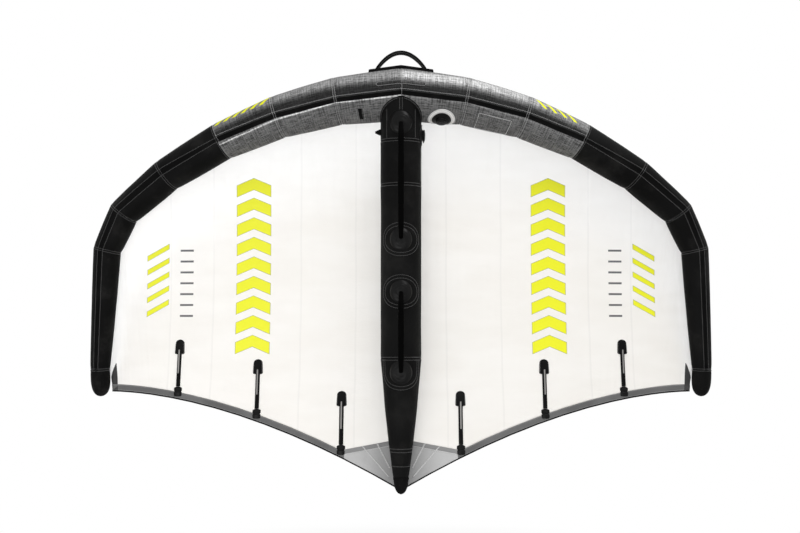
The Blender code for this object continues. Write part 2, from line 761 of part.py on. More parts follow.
def build_strut(tube, seams, drops, edge_cutter, valve_cutter):
    names = ("strut_front_panel", "strut_upper_panel", "strut_middle_panel", "strut_tail_panel")
    starts = [0] + seams[:-1]
    panels = []
    for name, first, last in zip(names, starts, seams):
        outer = strut_rings(tube, first, last, 0)
        inner = strut_rings(tube, first, last, CASING_WALL)
        panels.append(add_piece(name, loft(outer + inner[::-1], closed=True), "black_fabric"))
    cut(panels[0], edge_cutter)
    cut(panels[0], valve_cutter)
    cap = strut_cap_rings(tube, CASING_WALL)[::-1] + strut_cap_rings(tube, 0)
    add_piece("strut_tail_cap", loft(cap), "black_rubber")

    skins = []
    start = STRUT_BLADDER_START
    for inset in (CASING_WALL + GAP, CASING_WALL + GAP + BLADDER_WALL):
        head = start + (inset - CASING_WALL - GAP)
        length, distance = tube.place(0, head - drops[0])
        radius = tube.radius_at(length, distance) - inset
        rings = [tube.square_ring(length, distance, radius, BLADDER_SIDES)]
        for index in range(length + 1, seams[-1]):
            rings.append(tube.seam_ring(index, -inset, sides=BLADDER_SIDES))
        tail = seams[-1]
        way = tube.ways[tail - 1]
        ring = tube.seam_ring(tail, -inset, sides=BLADDER_SIDES)
        rings.append([point - way * (inset - CASING_WALL) for point in ring])
        skins.append(rings)
    bladder = add_piece("strut_bladder", add_hollow(*skins), "bladder_film")
    cut(bladder, valve_cutter)


def patch_rings(tube, seat, table, sides):
    """Rings of a patch wrapped on a tube; each row gives its half length, half arc and height."""
    length, distance, angle = seat
    rings = []
    for half_length, half_arc, height in table:
        ring = []
        for index in range(sides):
            turn = 2 * math.pi * index / sides
            along = half_length * math.cos(turn)
            around = half_arc * math.sin(turn)
            ring.append(tube.wrapped(length, distance, angle, along, around, height))
        rings.append(ring)
    return rings


def build_anchor(number, tube, place, patch_shares, strut_cutter):
    """Round sewn patch with a moulded dome whose flat top carries the foot of a handle."""
    length, distance = place
    edge = GAP + ANCHOR_PATCH_THICKNESS
    patch_length = ANCHOR_PATCH_RADIUS * patch_shares
    patch_arc = ANCHOR_PATCH_ARC * patch_shares
    shoulder = (ANCHOR_DOME_RADIUS + ANCHOR_TOP_RADIUS) / 2
    step = (ANCHOR_DOME_RADIUS + patch_length) / 2
    rows = [
        (patch_length, patch_arc, -ANCHOR_SINK),
        (patch_length, patch_arc, edge + ANCHOR_PATCH_THICKNESS / 2),
        (step, (ANCHOR_DOME_RADIUS + patch_arc) / 2, edge + ANCHOR_PATCH_THICKNESS / 2),
        (ANCHOR_DOME_RADIUS, ANCHOR_DOME_RADIUS, edge + ANCHOR_PATCH_THICKNESS),
        (shoulder, shoulder, edge + (ANCHOR_HEIGHT - edge) * ANCHOR_SHOULDER_SHARE),
    ]
    rings = patch_rings(tube, (length, distance, 0), rows, ANCHOR_SIDES)
    centre = tube.skin(length, distance, 0)
    out = tube.outward(length, 0)
    way = tube.ways[length]
    around = tube.sides[length]
    top = centre + out * ANCHOR_HEIGHT
    rings += turned(centre, out, way, around, [(ANCHOR_TOP_RADIUS, ANCHOR_HEIGHT)], ANCHOR_SIDES)
    base = turned(centre, out, way, around, [(ANCHOR_TOP_RADIUS, -ANCHOR_SINK)], ANCHOR_SIDES)
    anchor = add_piece(f"handle_anchor_{number}", loft(base + rings), "black_rubber")
    cut(anchor, strut_cutter)
    return top, out


def sweep(points, across, sections):
    """Rounded bar along a line of points; each section gives its width and thickness."""
    rings = []
    for index, (point, (width, thickness)) in enumerate(zip(points, sections)):
        before = points[max(0, index - 1)]
        after = points[min(len(points) - 1, index + 1)]
        way = (after - before).normalized()
        deep = across.cross(way).normalized()
        ring = []
        for step in range(GRIP_SIDES):
            turn = 2 * math.pi * (step + 0.5) / GRIP_SIDES
            spoke = across * (width * math.cos(turn)) + deep * (thickness * math.sin(turn))
            ring.append(point + spoke / 2)
        rings.append(ring)
    return rings


def foot_rows(start, out, radius, thickness):
    """Points and sections of a handle's round foot, below and beside its pivot."""
    points = []
    sections = []
    for turn in HANDLE_FOOT_ANGLES:
        angle = math.radians(turn)
        points.append(start + out * (radius * math.sin(angle)))
        sections.append((2 * radius * math.cos(angle), thickness))
    return points, sections


def grip_rings(start, finish, across, out):
    """Foot, bend, straight grip, bend and foot of a strut handle that stands on two pivots."""
    along = (finish - start).normalized()
    span = (finish - start).length
    points, sections = foot_rows(start, out, GRIP_FOOT_RADIUS, GRIP_FOOT_THICKNESS)
    for turn in GRIP_BEND_ANGLES:
        angle = math.radians(turn)
        travel = GRIP_BEND_LENGTH * (1 - math.cos(angle))
        points.append(start + along * travel + out * (GRIP_RISE * math.sin(angle)))
        share = turn / 90
        wide = 2 * GRIP_FOOT_RADIUS + (GRIP_WIDTH - 2 * GRIP_FOOT_RADIUS) * share
        deep = GRIP_FOOT_THICKNESS + (GRIP_THICKNESS - GRIP_FOOT_THICKNESS) * share
        sections.append((wide, deep))
    for travel in (GRIP_BEND_LENGTH * GRIP_STRAIGHT_SHARE, span / 2):
        points.append(start + along * travel + out * GRIP_RISE)
        sections.append((GRIP_WIDTH, GRIP_THICKNESS))
    mirrored = []
    for point in points[-2::-1]:
        travel = (point - start).dot(along)
        mirrored.append(point + along * (span - 2 * travel))
    return sweep(points + mirrored, across, sections + sections[-2::-1])


def build_strut_handle(name, first, second):
    """Handle on two anchors; it swings about the line through its feet."""
    (start, start_out), (finish, finish_out) = first, second
    stand = GAP * 2 + GRIP_FOOT_RADIUS
    start = start + start_out * stand
    finish = finish + finish_out * stand
    along = (finish - start).normalized()
    out = (Vector((0, -1, 0)) - along * along.dot(Vector((0, -1, 0)))).normalized()
    rings = grip_rings(start, finish, Vector((1, 0, 0)), out)
    add_piece(name, loft(rings), "black_rubber", origin=start)
    grip = (start + finish) / 2 + out * GRIP_RISE
    print(name, "axis from", show(start), "to", show(finish), "grip", show(grip))


def top_of_edge(edge, reach, height):
    """Point over the top line of the first tube length at a reach from the centre line."""
    distance = reach / edge.ways[0].x
    for _ in range(3):
        point = edge.skin(0, distance, -math.pi / 2, height)
        distance -= (point.x - reach) / edge.ways[0].x
    return point


def build_edge_handle(edges):
    """Webbing handle that stands on the top of the leading edge, on its stitched base."""
    half_angle = HANDLE_BASE_WIDTH / CENTRE_TUBE_RADIUS / 2
    step = 2 * half_angle / BAND_STRANDS
    seat = (CENTRE_TUBE_RADIUS + GAP) / math.cos(step / 2) - CENTRE_TUBE_RADIUS
    up = -math.pi / 2
    angles = [up - half_angle + step * index for index in range(BAND_STRANDS + 1)]

    def base_ring(point_at):
        under = [point_at(angle, seat) for angle in angles]
        over = [point_at(angle, seat + HANDLE_BASE_THICKNESS) for angle in angles]
        return under + over[::-1]

    rings = []
    for way in (-1, 1):
        edge = edges[way]
        distance = HANDLE_BASE_REACH / abs(edge.ways[0].x)
        rings.append(base_ring(lambda angle, height: edge.skin(0, distance, angle, height)))
    rings.insert(1, base_ring(lambda angle, height: edges[1].seam_point(0, angle, height)))
    add_piece("leading_edge_handle_base", loft(rings), "black_webbing")

    edge = edges[1]
    top = top_of_edge(edge, HANDLE_FOOT_REACH, seat + HANDLE_BASE_THICKNESS)
    slant = abs(edge.ways[0].z / edge.ways[0].x) * HANDLE_FOOT_THICKNESS / 2
    foot_height = top.z + GAP + slant + HANDLE_FOOT_RADIUS
    foot_depth = top.y
    rise = HANDLE_APEX_HEIGHT - foot_height
    foot = Vector((-HANDLE_FOOT_REACH, foot_depth, foot_height))
    points, sections = foot_rows(foot, Vector((0, 0, 1)), HANDLE_FOOT_RADIUS, HANDLE_FOOT_THICKNESS)
    for turn in HANDLE_ARCH_ANGLES:
        angle = math.radians(turn)
        height = foot_height + rise * math.sin(angle)
        points.append(Vector((-HANDLE_FOOT_REACH * math.cos(angle), foot_depth, height)))
        share = min(1, turn / HANDLE_FULL_ANGLE)
        wide = 2 * HANDLE_FOOT_RADIUS + (HANDLE_WIDTH - 2 * HANDLE_FOOT_RADIUS) * share
        deep = HANDLE_FOOT_THICKNESS + (HANDLE_THICKNESS - HANDLE_FOOT_THICKNESS) * share
        sections.append((wide, deep))
    mirrored = [Vector((-point.x, point.y, point.z)) for point in points[-2::-1]]
    rings = sweep(points + mirrored, Vector((0, 1, 0)), sections + sections[-2::-1])
    origin = Vector((0, foot_depth, foot_height))
    add_piece("leading_edge_handle", loft(rings), "black_webbing", origin=origin)
    print("leading_edge_handle axis", show(origin))


def turned(centre, out, way, around, table, sides=VALVE_SIDES):
    """Rings turned about an axis that stands on a tube; each row gives a radius and a height."""
    rings = []
    for radius, height in table:
        ring = []
        for index in range(sides):
            turn = 2 * math.pi * index / sides
            spoke = way * math.cos(turn) + around * math.sin(turn)
            ring.append(centre + out * height + spoke * radius)
        rings.append(ring)
    return rings


class ValveSeat:
    """Where a valve stands on a tube; hinge_way turns its hinge along the tube."""

    def __init__(self, tube, length, distance, angle, hinge_way):
        self.tube = tube
        self.spot = (length, distance, angle)
        self.centre = tube.skin(length, distance, angle)
        self.out = tube.outward(length, angle)
        self.way = tube.ways[length]
        self.around = tube.outward(length, angle + math.pi / 2)
        self.hinge = self.way * hinge_way

    def wheel(self, table):
        return turned(self.centre, self.out, self.way, self.around, table)

    def hinge_point(self):
        height = VALVE_COLLAR_HEIGHT + GAP + VALVE_PLATE_THICKNESS
        return self.centre + self.hinge * VALVE_HINGE_REACH + self.out * height


def valve_hole(name, seat):
    """Cutter for the hole that a valve collar passes through."""
    radius = (VALVE_COLLAR_RADIUS + GAP) / math.cos(math.pi / VALVE_SIDES)
    table = [(radius, -VALVE_COLLAR_DEPTH - CUTTER_MARGIN), (radius, CUTTER_MARGIN)]
    return add_cutter(name, loft(seat.wheel(table)))


def hinge_knuckle(name, seat, offset, arc, arm_reach, arm_low, arm_high):
    """Barrel of the cap hinge with an arm that runs back into the piece it is moulded on."""
    axis = seat.hinge_point()
    radius = VALVE_KNUCKLE_RADIUS
    rings = []
    for end in (-1, 1):
        shift = seat.around * (offset + end * VALVE_KNUCKLE_LENGTH / 2)
        outline = []
        for step in range(KNUCKLE_STEPS + 1):
            angle = math.radians(arc[0] + (arc[1] - arc[0]) * step / KNUCKLE_STEPS)
            outline.append((radius * math.cos(angle), radius * math.sin(angle)))
        outline = [(-arm_reach, arm_low)] + outline + [(-arm_reach, arm_high)]
        rings.append([axis + shift + seat.hinge * x + seat.out * y for x, y in outline])
    return add_cutter(name, loft(rings))


def build_valve(prefix, seat):
    """Collar with a wrapped flange, a quarter-turn insert and a hinged cap."""
    bore = VALVE_COLLAR_RADIUS - VALVE_COLLAR_WALL
    flange_top = PATCH_GAP + VALVE_FLANGE_THICKNESS
    mouth = VALVE_COLLAR_RADIUS + VALVE_COLLAR_WALL / 4
    middle = (mouth + VALVE_FLANGE_RADIUS) / 2
    under = [(radius, radius, PATCH_GAP) for radius in (mouth, middle, VALVE_FLANGE_RADIUS)]
    over = [(radius, radius, flange_top) for radius in (VALVE_FLANGE_RADIUS, middle)]
    skirt = patch_rings(seat.tube, seat.spot, under + over, VALVE_SIDES)
    stem = [
        (mouth, VALVE_COLLAR_HEIGHT), (bore, VALVE_COLLAR_HEIGHT), (bore, -VALVE_COLLAR_DEPTH),
        (VALVE_COLLAR_RADIUS, -VALVE_COLLAR_DEPTH), (VALVE_COLLAR_RADIUS, -CASING_WALL / 2),
    ]
    add_piece(prefix + "_base", loft(skirt + seat.wheel(stem), closed=True), "black_plastic")

    low = VALVE_COLLAR_HEIGHT + GAP
    high = low + VALVE_PLATE_THICKNESS
    facet = math.cos(math.pi / VALVE_SIDES)
    skirt_radius = bore * facet - GAP
    hole = (VALVE_PLUG_RADIUS + GAP) / facet
    insert_table = [
        (skirt_radius, -VALVE_PLUG_DEPTH), (skirt_radius, low), (VALVE_COLLAR_RADIUS, low),
        (VALVE_COLLAR_RADIUS, high), (hole, high), (hole, -VALVE_PLUG_DEPTH),
    ]
    insert = add_piece(prefix + "_insert", loft(seat.wheel(insert_table), closed=True),
                       "black_plastic", origin=seat.centre)
    arm = VALVE_HINGE_REACH - VALVE_COLLAR_RADIUS + VALVE_COLLAR_WALL / 2
    pitch = VALVE_KNUCKLE_LENGTH + GAP
    arm_low, arm_high = (VALVE_PLATE_THICKNESS * share for share in VALVE_PLATE_ARM_SHARES)
    for end, offset in (("a", -pitch), ("b", pitch)):
        tool = hinge_knuckle(f"{prefix}_insert_knuckle_{end}", seat, offset, PLATE_KNUCKLE_ARC,
                             arm, arm_low, arm_high)
        combine(insert, tool, "UNION")

    seat_height = high + GAP
    cap_table = [
        (VALVE_PLUG_RADIUS * VALVE_PLUG_TAPER_SHARE, seat_height - VALVE_PLUG_DEPTH),
        (VALVE_PLUG_RADIUS, seat_height),
    ]
    for wide, tall in zip(VALVE_CAP_RADIUS_SHARES, VALVE_CAP_HEIGHT_SHARES):
        cap_table.append((VALVE_CAP_RADIUS * wide, seat_height + VALVE_CAP_HEIGHT * tall))
    axis = seat.hinge_point()
    cap = add_piece(prefix + "_cap", loft(seat.wheel(cap_table)), "black_rubber", origin=axis)
    arm = VALVE_HINGE_REACH - VALVE_CAP_RADIUS * VALVE_ARM_ROOT_SHARE
    arm_low, arm_high = (GAP + VALVE_CAP_HEIGHT * share for share in VALVE_CAP_ARM_SHARES)
    tool = hinge_knuckle(prefix + "_cap_knuckle", seat, 0, CAP_KNUCKLE_ARC, arm, arm_low, arm_high)
    combine(cap, tool, "UNION")
    print(prefix, "turns about", show(seat.centre), "axis", rounded(seat.out))
    print(prefix, "cap hinge", show(axis), "axis", rounded(seat.around))


def build_valve_patch(name, seat):
    """Sewn ring of cloth round a valve."""
    inner = VALVE_FLANGE_RADIUS + GAP * 2
    middle = (inner + VALVE_PATCH_RADIUS) / 2
    radii = (inner, middle, VALVE_PATCH_RADIUS)
    rows = [(radius, radius, PATCH_GAP) for radius in radii]
    rows += [(radius, radius, PATCH_GAP + PATCH_THICKNESS) for radius in radii[::-1]]
    rings = patch_rings(seat.tube, seat.spot, rows, TUBE_SIDES)
    add_piece(name, loft(rings, closed=True), "ring_grey")


def build_loop(name, tube, spot, width, span, rise):
    """Webbing loop with two sewn feet that stands across a tube."""
    length, distance, angle = spot
    radius = tube.radius_at(length, distance)
    way = tube.ways[length]
    foot = width / 2
    low = GAP + WEB_THICKNESS / 2
    arch = [(-span / 2 - foot, low), (-span / 2, low)]
    for step in range(1, LOOP_STEPS):
        turn = math.pi * step / LOOP_STEPS
        arch.append((-span / 2 * math.cos(turn), low + rise * math.sin(turn)))
    arch += [(span / 2, low), (span / 2 + foot, low)]
    points = [tube.skin(length, distance, angle + around / radius, height) for around, height in arch]
    rings = []
    for index, point in enumerate(points):
        before = points[max(0, index - 1)]
        after = points[min(len(points) - 1, index + 1)]
        deep = way.cross((after - before).normalized()).normalized() * (WEB_THICKNESS / 2)
        side = way * (width / 2)
        under, over = point - deep, point + deep
        rings.append([under - side, under + side, over + side, over - side])
    add_piece(name, loft(rings), "black_webbing")
    out = tube.outward(length, angle)
    print(name, "centre", show(tube.skin(length, distance, angle)), "out", rounded(out))


def rounded(values):
    return tuple(round(value, 5) for value in values)


def show(point):
    """Coordinates in the part's own frame, rounded for reading."""
    return rounded(point + WING_FRAME.location)


for leftover in list(bpy.data.objects):
    bpy.data.objects.remove(leftover, do_unlink=True)

# The handle on top of the leading edge sets the origin, so the edge tubes come first
edge_tubes = {way: leading_edge(way) for way in (-1, 1)}
side_names = {-1: "left", 1: "right"}
grip_depth = top_of_edge(edge_tubes[1], HANDLE_FOOT_REACH, HANDLE_BASE_THICKNESS).y
WING_FRAME = bpy.data.objects.new("wing_frame", None)
WING_FRAME.location = (0, -grip_depth, -(HANDLE_APEX_HEIGHT - HANDLE_THICKNESS / 2))
bpy.context.collection.objects.link(WING_FRAME)

panels = {}
for way, edge in edge_tubes.items():
    panels[way] = build_leading_edge_casing(side_names[way], edge)
    build_closing_strip(side_names[way], edge)
canopies = {way: Canopy(edge, way) for way, edge in edge_tubes.items()}
for way, canopy in canopies.items():
    build_canopy(side_names[way], canopy)
    build_tail_patch(side_names[way], canopy)
    for number in range(len(BATTEN_REACHES)):
        build_batten(side_names[way], number, canopy)

edge_valve_share = EDGE_VALVE_REACH / edge_tubes[1].ways[0].x
edge_seat = ValveSeat(edge_tubes[1], 0, edge_valve_share, EDGE_VALVE_ANGLE, 1)
edge_hole = valve_hole("edge_valve_hole", edge_seat)
cut(panels[1][0], edge_hole)
build_leading_edge_bladder(edge_tubes, edge_hole)
build_valve("leading_edge_valve", edge_seat)
build_valve_patch("leading_edge_valve_patch", edge_seat)

strut, strut_seams, strut_drops = strut_tube(canopies[1])
strut_seat = ValveSeat(strut, *strut.at_drop(STRUT_VALVE_DROP), math.pi / 2, 1)
strut_hole = valve_hole("strut_valve_hole", strut_seat)
edge_rings = [edge_tubes[-1].seam_ring(1, GAP)]
edge_rings += [edge_tubes[1].seam_ring(station, GAP) for station in (0, 1)]
edge_envelope = add_cutter("leading_edge_envelope", loft(edge_rings))
build_strut(strut, strut_seams, strut_drops, edge_envelope, strut_hole)
build_valve("strut_valve", strut_seat)

envelope_rings = [strut.seam_ring(index, GAP) for index in range(strut_seams[-1] + 1)]
strut_envelope = add_cutter("strut_envelope", loft(envelope_rings))
anchors = []
for number, (drop, share) in enumerate(zip(ANCHOR_DROPS, ANCHOR_PATCH_SHARES), 1):
    anchors.append(build_anchor(number, strut, strut.at_drop(drop), share, strut_envelope))
build_strut_handle("front_handle", anchors[0], anchors[1])
build_strut_handle("rear_handle", anchors[2], anchors[3])
build_edge_handle(edge_tubes)

leash_length, leash_distance = edge_tubes[-1].at_reach(LEASH_LOOP_REACH)
build_loop("leash_loop", edge_tubes[-1], (leash_length, leash_distance, LEASH_LOOP_ANGLE),
           LEASH_LOOP_WIDTH, LEASH_LOOP_SPAN, LEASH_LOOP_RISE)
build_loop("strut_side_loop", strut, (*strut.at_drop(SIDE_LOOP_DROP), -math.pi / 2),
           SIDE_LOOP_WIDTH, SIDE_LOOP_SPAN, SIDE_LOOP_RISE)

made = [piece for piece in bpy.data.objects if piece.type == "MESH" and not piece.hide_render]
print("pieces", len(made))
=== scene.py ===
# %% [markdown]
# # A hand-held inflatable wing, dressed for its picture
#
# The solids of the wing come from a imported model: it says where every tube, handle and valve is and how
# the moving ones move. This script leaves them in place and gives them their looks. Cloth, stitches and
# moulded rubber are modelled here around the solids, in the same metres and the same frame.
#
# We start by loading that frame and noting its box, because nothing here may outgrow it.

import itertools
import math

import bmesh
import bpy
from mathutils import Matrix, Vector, noise


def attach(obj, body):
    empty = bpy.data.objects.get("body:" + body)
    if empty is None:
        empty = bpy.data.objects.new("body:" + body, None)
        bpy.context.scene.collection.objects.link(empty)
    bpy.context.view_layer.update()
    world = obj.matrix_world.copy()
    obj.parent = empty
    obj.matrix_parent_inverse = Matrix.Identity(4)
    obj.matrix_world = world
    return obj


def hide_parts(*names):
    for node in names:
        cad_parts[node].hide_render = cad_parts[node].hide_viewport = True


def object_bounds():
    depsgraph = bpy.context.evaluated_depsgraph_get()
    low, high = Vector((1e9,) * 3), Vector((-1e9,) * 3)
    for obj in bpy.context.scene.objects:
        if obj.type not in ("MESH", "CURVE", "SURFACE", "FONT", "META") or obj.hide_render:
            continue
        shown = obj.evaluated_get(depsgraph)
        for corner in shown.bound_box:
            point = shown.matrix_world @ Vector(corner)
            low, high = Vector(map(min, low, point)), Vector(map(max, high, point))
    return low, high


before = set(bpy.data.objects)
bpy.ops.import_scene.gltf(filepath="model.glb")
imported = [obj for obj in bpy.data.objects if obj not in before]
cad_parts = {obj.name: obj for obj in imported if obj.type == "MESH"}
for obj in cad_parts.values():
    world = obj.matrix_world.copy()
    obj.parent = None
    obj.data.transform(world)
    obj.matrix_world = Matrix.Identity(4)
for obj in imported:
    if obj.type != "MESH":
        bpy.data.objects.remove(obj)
cad_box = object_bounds()
ROOT = "wing"

# %% [markdown]
# ## Camera
#
# The wing was photographed from the rider's side, from a little below its middle. A lens is easiest to
# match by its length in pixels: 818 pixels on an 800 pixel picture. The camera stands 3.57 m in front of
# the wing and looks up by five degrees. It could be aimed with a constraint, but a plain turn is steadier
# when other views move it.

# %% Camera
IMAGE_WIDTH = 800
FOCAL_PIXELS = 818
SENSOR_WIDTH = 36.0
CAMERA_PLACE = (0, -3.57, -1.266)
CAMERA_TILT = math.radians(5)
CAMERA_SHIFT_PIXELS = -1

camera_data = bpy.data.cameras.new("camera")
camera_data.sensor_width = SENSOR_WIDTH
camera_data.lens = FOCAL_PIXELS / IMAGE_WIDTH * SENSOR_WIDTH
camera_data.shift_x = CAMERA_SHIFT_PIXELS / IMAGE_WIDTH
camera = bpy.data.objects.new("camera", camera_data)
camera.location = CAMERA_PLACE
camera.rotation_euler = (math.pi / 2 + CAMERA_TILT, 0, 0)
bpy.context.collection.objects.link(camera)
bpy.context.scene.camera = camera
bpy.context.scene.view_settings.view_transform = "Standard"
print("lens", round(camera_data.lens, 2), "mm")

# %% [markdown]
# ## Nodes with less typing
#
# Every finish below is a small tree of shader nodes. Adding a node, setting its values and wiring its
# sockets takes several lines each time, so a helper does all three. Effects that several finishes share
# are node groups with named sockets: they only put out masks, heights and colours, and the shader itself
# stays in each material.

# %% Node helper
FLOAT, VECTOR = "NodeSocketFloat", "NodeSocketVector"
GROUPS = {}


class NodeSheet:
    """Adds nodes to one tree; each input takes another node's socket or a plain value."""

    COLUMN_WIDTH = 190

    def __init__(self, tree):
        self.tree = tree
        self.count = 0

    def feed(self, socket, value):
        if isinstance(value, bpy.types.NodeSocket):
            self.tree.links.new(value, socket)
        else:
            socket.default_value = value

    def add(self, kind, inputs=None, **settings):
        node = self.tree.nodes.new(kind)
        node.location = (self.count * self.COLUMN_WIDTH, 0)
        self.count += 1
        for key, value in settings.items():
            setattr(node, key, value)
        for key, value in (inputs or {}).items():
            self.feed(node.inputs[key], value)
        return node

    def math(self, operation, first, second=0.0, clamp=False):
        settings = {"operation": operation, "use_clamp": clamp}
        return self.add("ShaderNodeMath", {0: first, 1: second}, **settings).outputs[0]

    def ramp(self, value, low, high, start=0.0, end=1.0):
        """value read from low to high and put out from start to end, smoothly."""
        names = ("Value", "From Min", "From Max", "To Min", "To Max")
        inputs = dict(zip(names, (value, low, high, start, end)))
        return self.add("ShaderNodeMapRange", inputs, interpolation_type="SMOOTHSTEP").outputs[0]

    def mix(self, share, first, second):
        node = self.add("ShaderNodeMix", data_type="RGBA")
        colours = [socket for socket in node.inputs if socket.type == "RGBA"]
        self.feed(node.inputs[0], share)
        self.feed(colours[0], first)
        self.feed(colours[1], second)
        return [socket for socket in node.outputs if socket.type == "RGBA"][0]

    def split(self, vector):
        return self.add("ShaderNodeSeparateXYZ", {0: vector}).outputs

    def scaled(self, vector, scale):
        return self.add("ShaderNodeMapping", {"Vector": vector, "Scale": scale}).outputs[0]

    def noise(self, vector, scale, detail=3.0, roughness=0.5):
        inputs = {"Vector": vector, "Scale": scale, "Detail": detail, "Roughness": roughness}
        return self.add("ShaderNodeTexNoise", inputs).outputs[0]


def new_group(name, inputs, outputs):
    """Start a node group with its sockets; gives its sheet of nodes and its two ends."""
    group = bpy.data.node_groups.new(name, "ShaderNodeTree")
    for label, kind, value in inputs:
        socket = group.interface.new_socket(label, in_out="INPUT", socket_type=kind)
        if value is not None:
            socket.default_value = value
    for label in outputs:
        group.interface.new_socket(label, in_out="OUTPUT", socket_type=FLOAT)
    GROUPS[name] = group
    sheet = NodeSheet(group)
    return sheet, sheet.add("NodeGroupInput").outputs, sheet.add("NodeGroupOutput").inputs


print("nodes take sockets of kind", FLOAT, VECTOR)

# %% [markdown]
# ## Light, floor and background
#
# The picture has a pure white background with no ground in it. The wing still gets a floor, well below
# it, so that other views have something to stand over and a soft shadow to read. Near the wing the floor
# is an ordinary pale surface. Away from it the floor fades to plain white for the camera and for mirrors
# only, so it throws no more light on the wing. Three soft boxes and an even sky do the lighting: a broad
# one above, one low in front, and one behind that fills the cloth from its far side.

# %% Light, floor and background
FLOOR_DROP = 1.3
FLOOR_RADIUS = 60.0
FLOOR_FADE = (2.6, 5.5)
FLOOR_TONE = 0.66
SKY_STRENGTH = 0.635
FLOOR_SIDES, FLOOR_ROUGHNESS = 96, 0.9
WHITE = (1, 1, 1, 1)
LIGHT_TARGET = (0, 0, -0.95)
SOFT_BOXES = (
    ("top_light", (1.6, -1.5, 2.2), (2.4, 1.6), 72),
    ("front_light", (-1.5, -3.6, -2.2), (3.6, 1.8), 52),
    ("back_light", (-1.1, 3.3, 0.2), (3.6, 2.0), 76),
)


def soft_box(name, place, size, power):
    """A rectangular lamp that faces the middle of the wing."""
    lamp = bpy.data.lights.new(name, "AREA")
    lamp.shape = "RECTANGLE"
    lamp.size, lamp.size_y = size
    lamp.energy = power
    box = bpy.data.objects.new(name, lamp)
    box.location = place
    way = Vector(LIGHT_TARGET) - Vector(place)
    box.rotation_euler = way.to_track_quat("-Z", "Y").to_euler()
    bpy.context.collection.objects.link(box)
    print(name, power, "W")


def seen_directly(sheet):
    """1 for the camera, for mirrors and through glass, and 0 for light that falls on the object."""
    path = sheet.add("ShaderNodeLightPath").outputs
    seen = sheet.math("MAXIMUM", path["Is Camera Ray"], path["Is Glossy Ray"])
    return sheet.math("MAXIMUM", seen, path["Is Transmission Ray"])


for row in SOFT_BOXES:
    soft_box(*row)

world = bpy.data.worlds.new("studio")
world.use_nodes = True
bpy.context.scene.world = world
sheet = NodeSheet(world.node_tree)
sky = world.node_tree.nodes["Background"]
to_full = sheet.math("MULTIPLY", seen_directly(sheet), 1 - SKY_STRENGTH)
sheet.feed(sky.inputs["Strength"], sheet.math("ADD", to_full, SKY_STRENGTH))
sky.inputs["Color"].default_value = WHITE

builder = bmesh.new()
bmesh.ops.create_circle(builder, cap_ends=True, segments=FLOOR_SIDES, radius=FLOOR_RADIUS)
bmesh.ops.translate(builder, vec=(0, 0, cad_box[0].z - FLOOR_DROP), verts=builder.verts)
floor_mesh = bpy.data.meshes.new("floor")
builder.to_mesh(floor_mesh)
builder.free()
floor = bpy.data.objects.new("floor", floor_mesh)
bpy.context.collection.objects.link(floor)

floor_finish = bpy.data.materials.new("floor")
floor_finish.use_nodes = True
sheet = NodeSheet(floor_finish.node_tree)
shader = floor_finish.node_tree.nodes["Principled BSDF"]
shader.inputs["Base Color"].default_value = (FLOOR_TONE, FLOOR_TONE, FLOOR_TONE, 1)
shader.inputs["Roughness"].default_value = FLOOR_ROUGHNESS
place = sheet.add("ShaderNodeTexCoord").outputs["Object"]
flat_place = sheet.scaled(place, (1, 1, 0))
reach = sheet.add("ShaderNodeVectorMath", {0: flat_place}, operation="LENGTH").outputs["Value"]
fade = sheet.math("MULTIPLY", sheet.ramp(reach, *FLOOR_FADE), seen_directly(sheet))
glow = sheet.add("ShaderNodeEmission", {"Color": WHITE, "Strength": 1.0}).outputs[0]
blended = sheet.add("ShaderNodeMixShader", {0: fade, 1: shader.outputs[0], 2: glow}).outputs[0]
output = floor_finish.node_tree.nodes["Material Output"]
sheet.feed(output.inputs["Surface"], blended)
floor_mesh.materials.append(floor_finish)
print("floor at", round(cad_box[0].z - FLOOR_DROP, 3))

# %% [markdown]
# ## The shape of the leading edge and the strut
#
# Both are tubes sewn from straight tapering lengths that meet in mitred seams. A point on such a tube is
# easy to name: how many lengths along it is, and at what angle round it. The class below turns those two
# numbers into a place. All the cloth and every stitch is laid with it, so that everything agrees with
# the solids. Lengths are measured from the centre of the leading edge tube, and a finished piece is moved
# by WING_SHIFT into the frame, whose origin is in the handle on top.

# %% Tubes


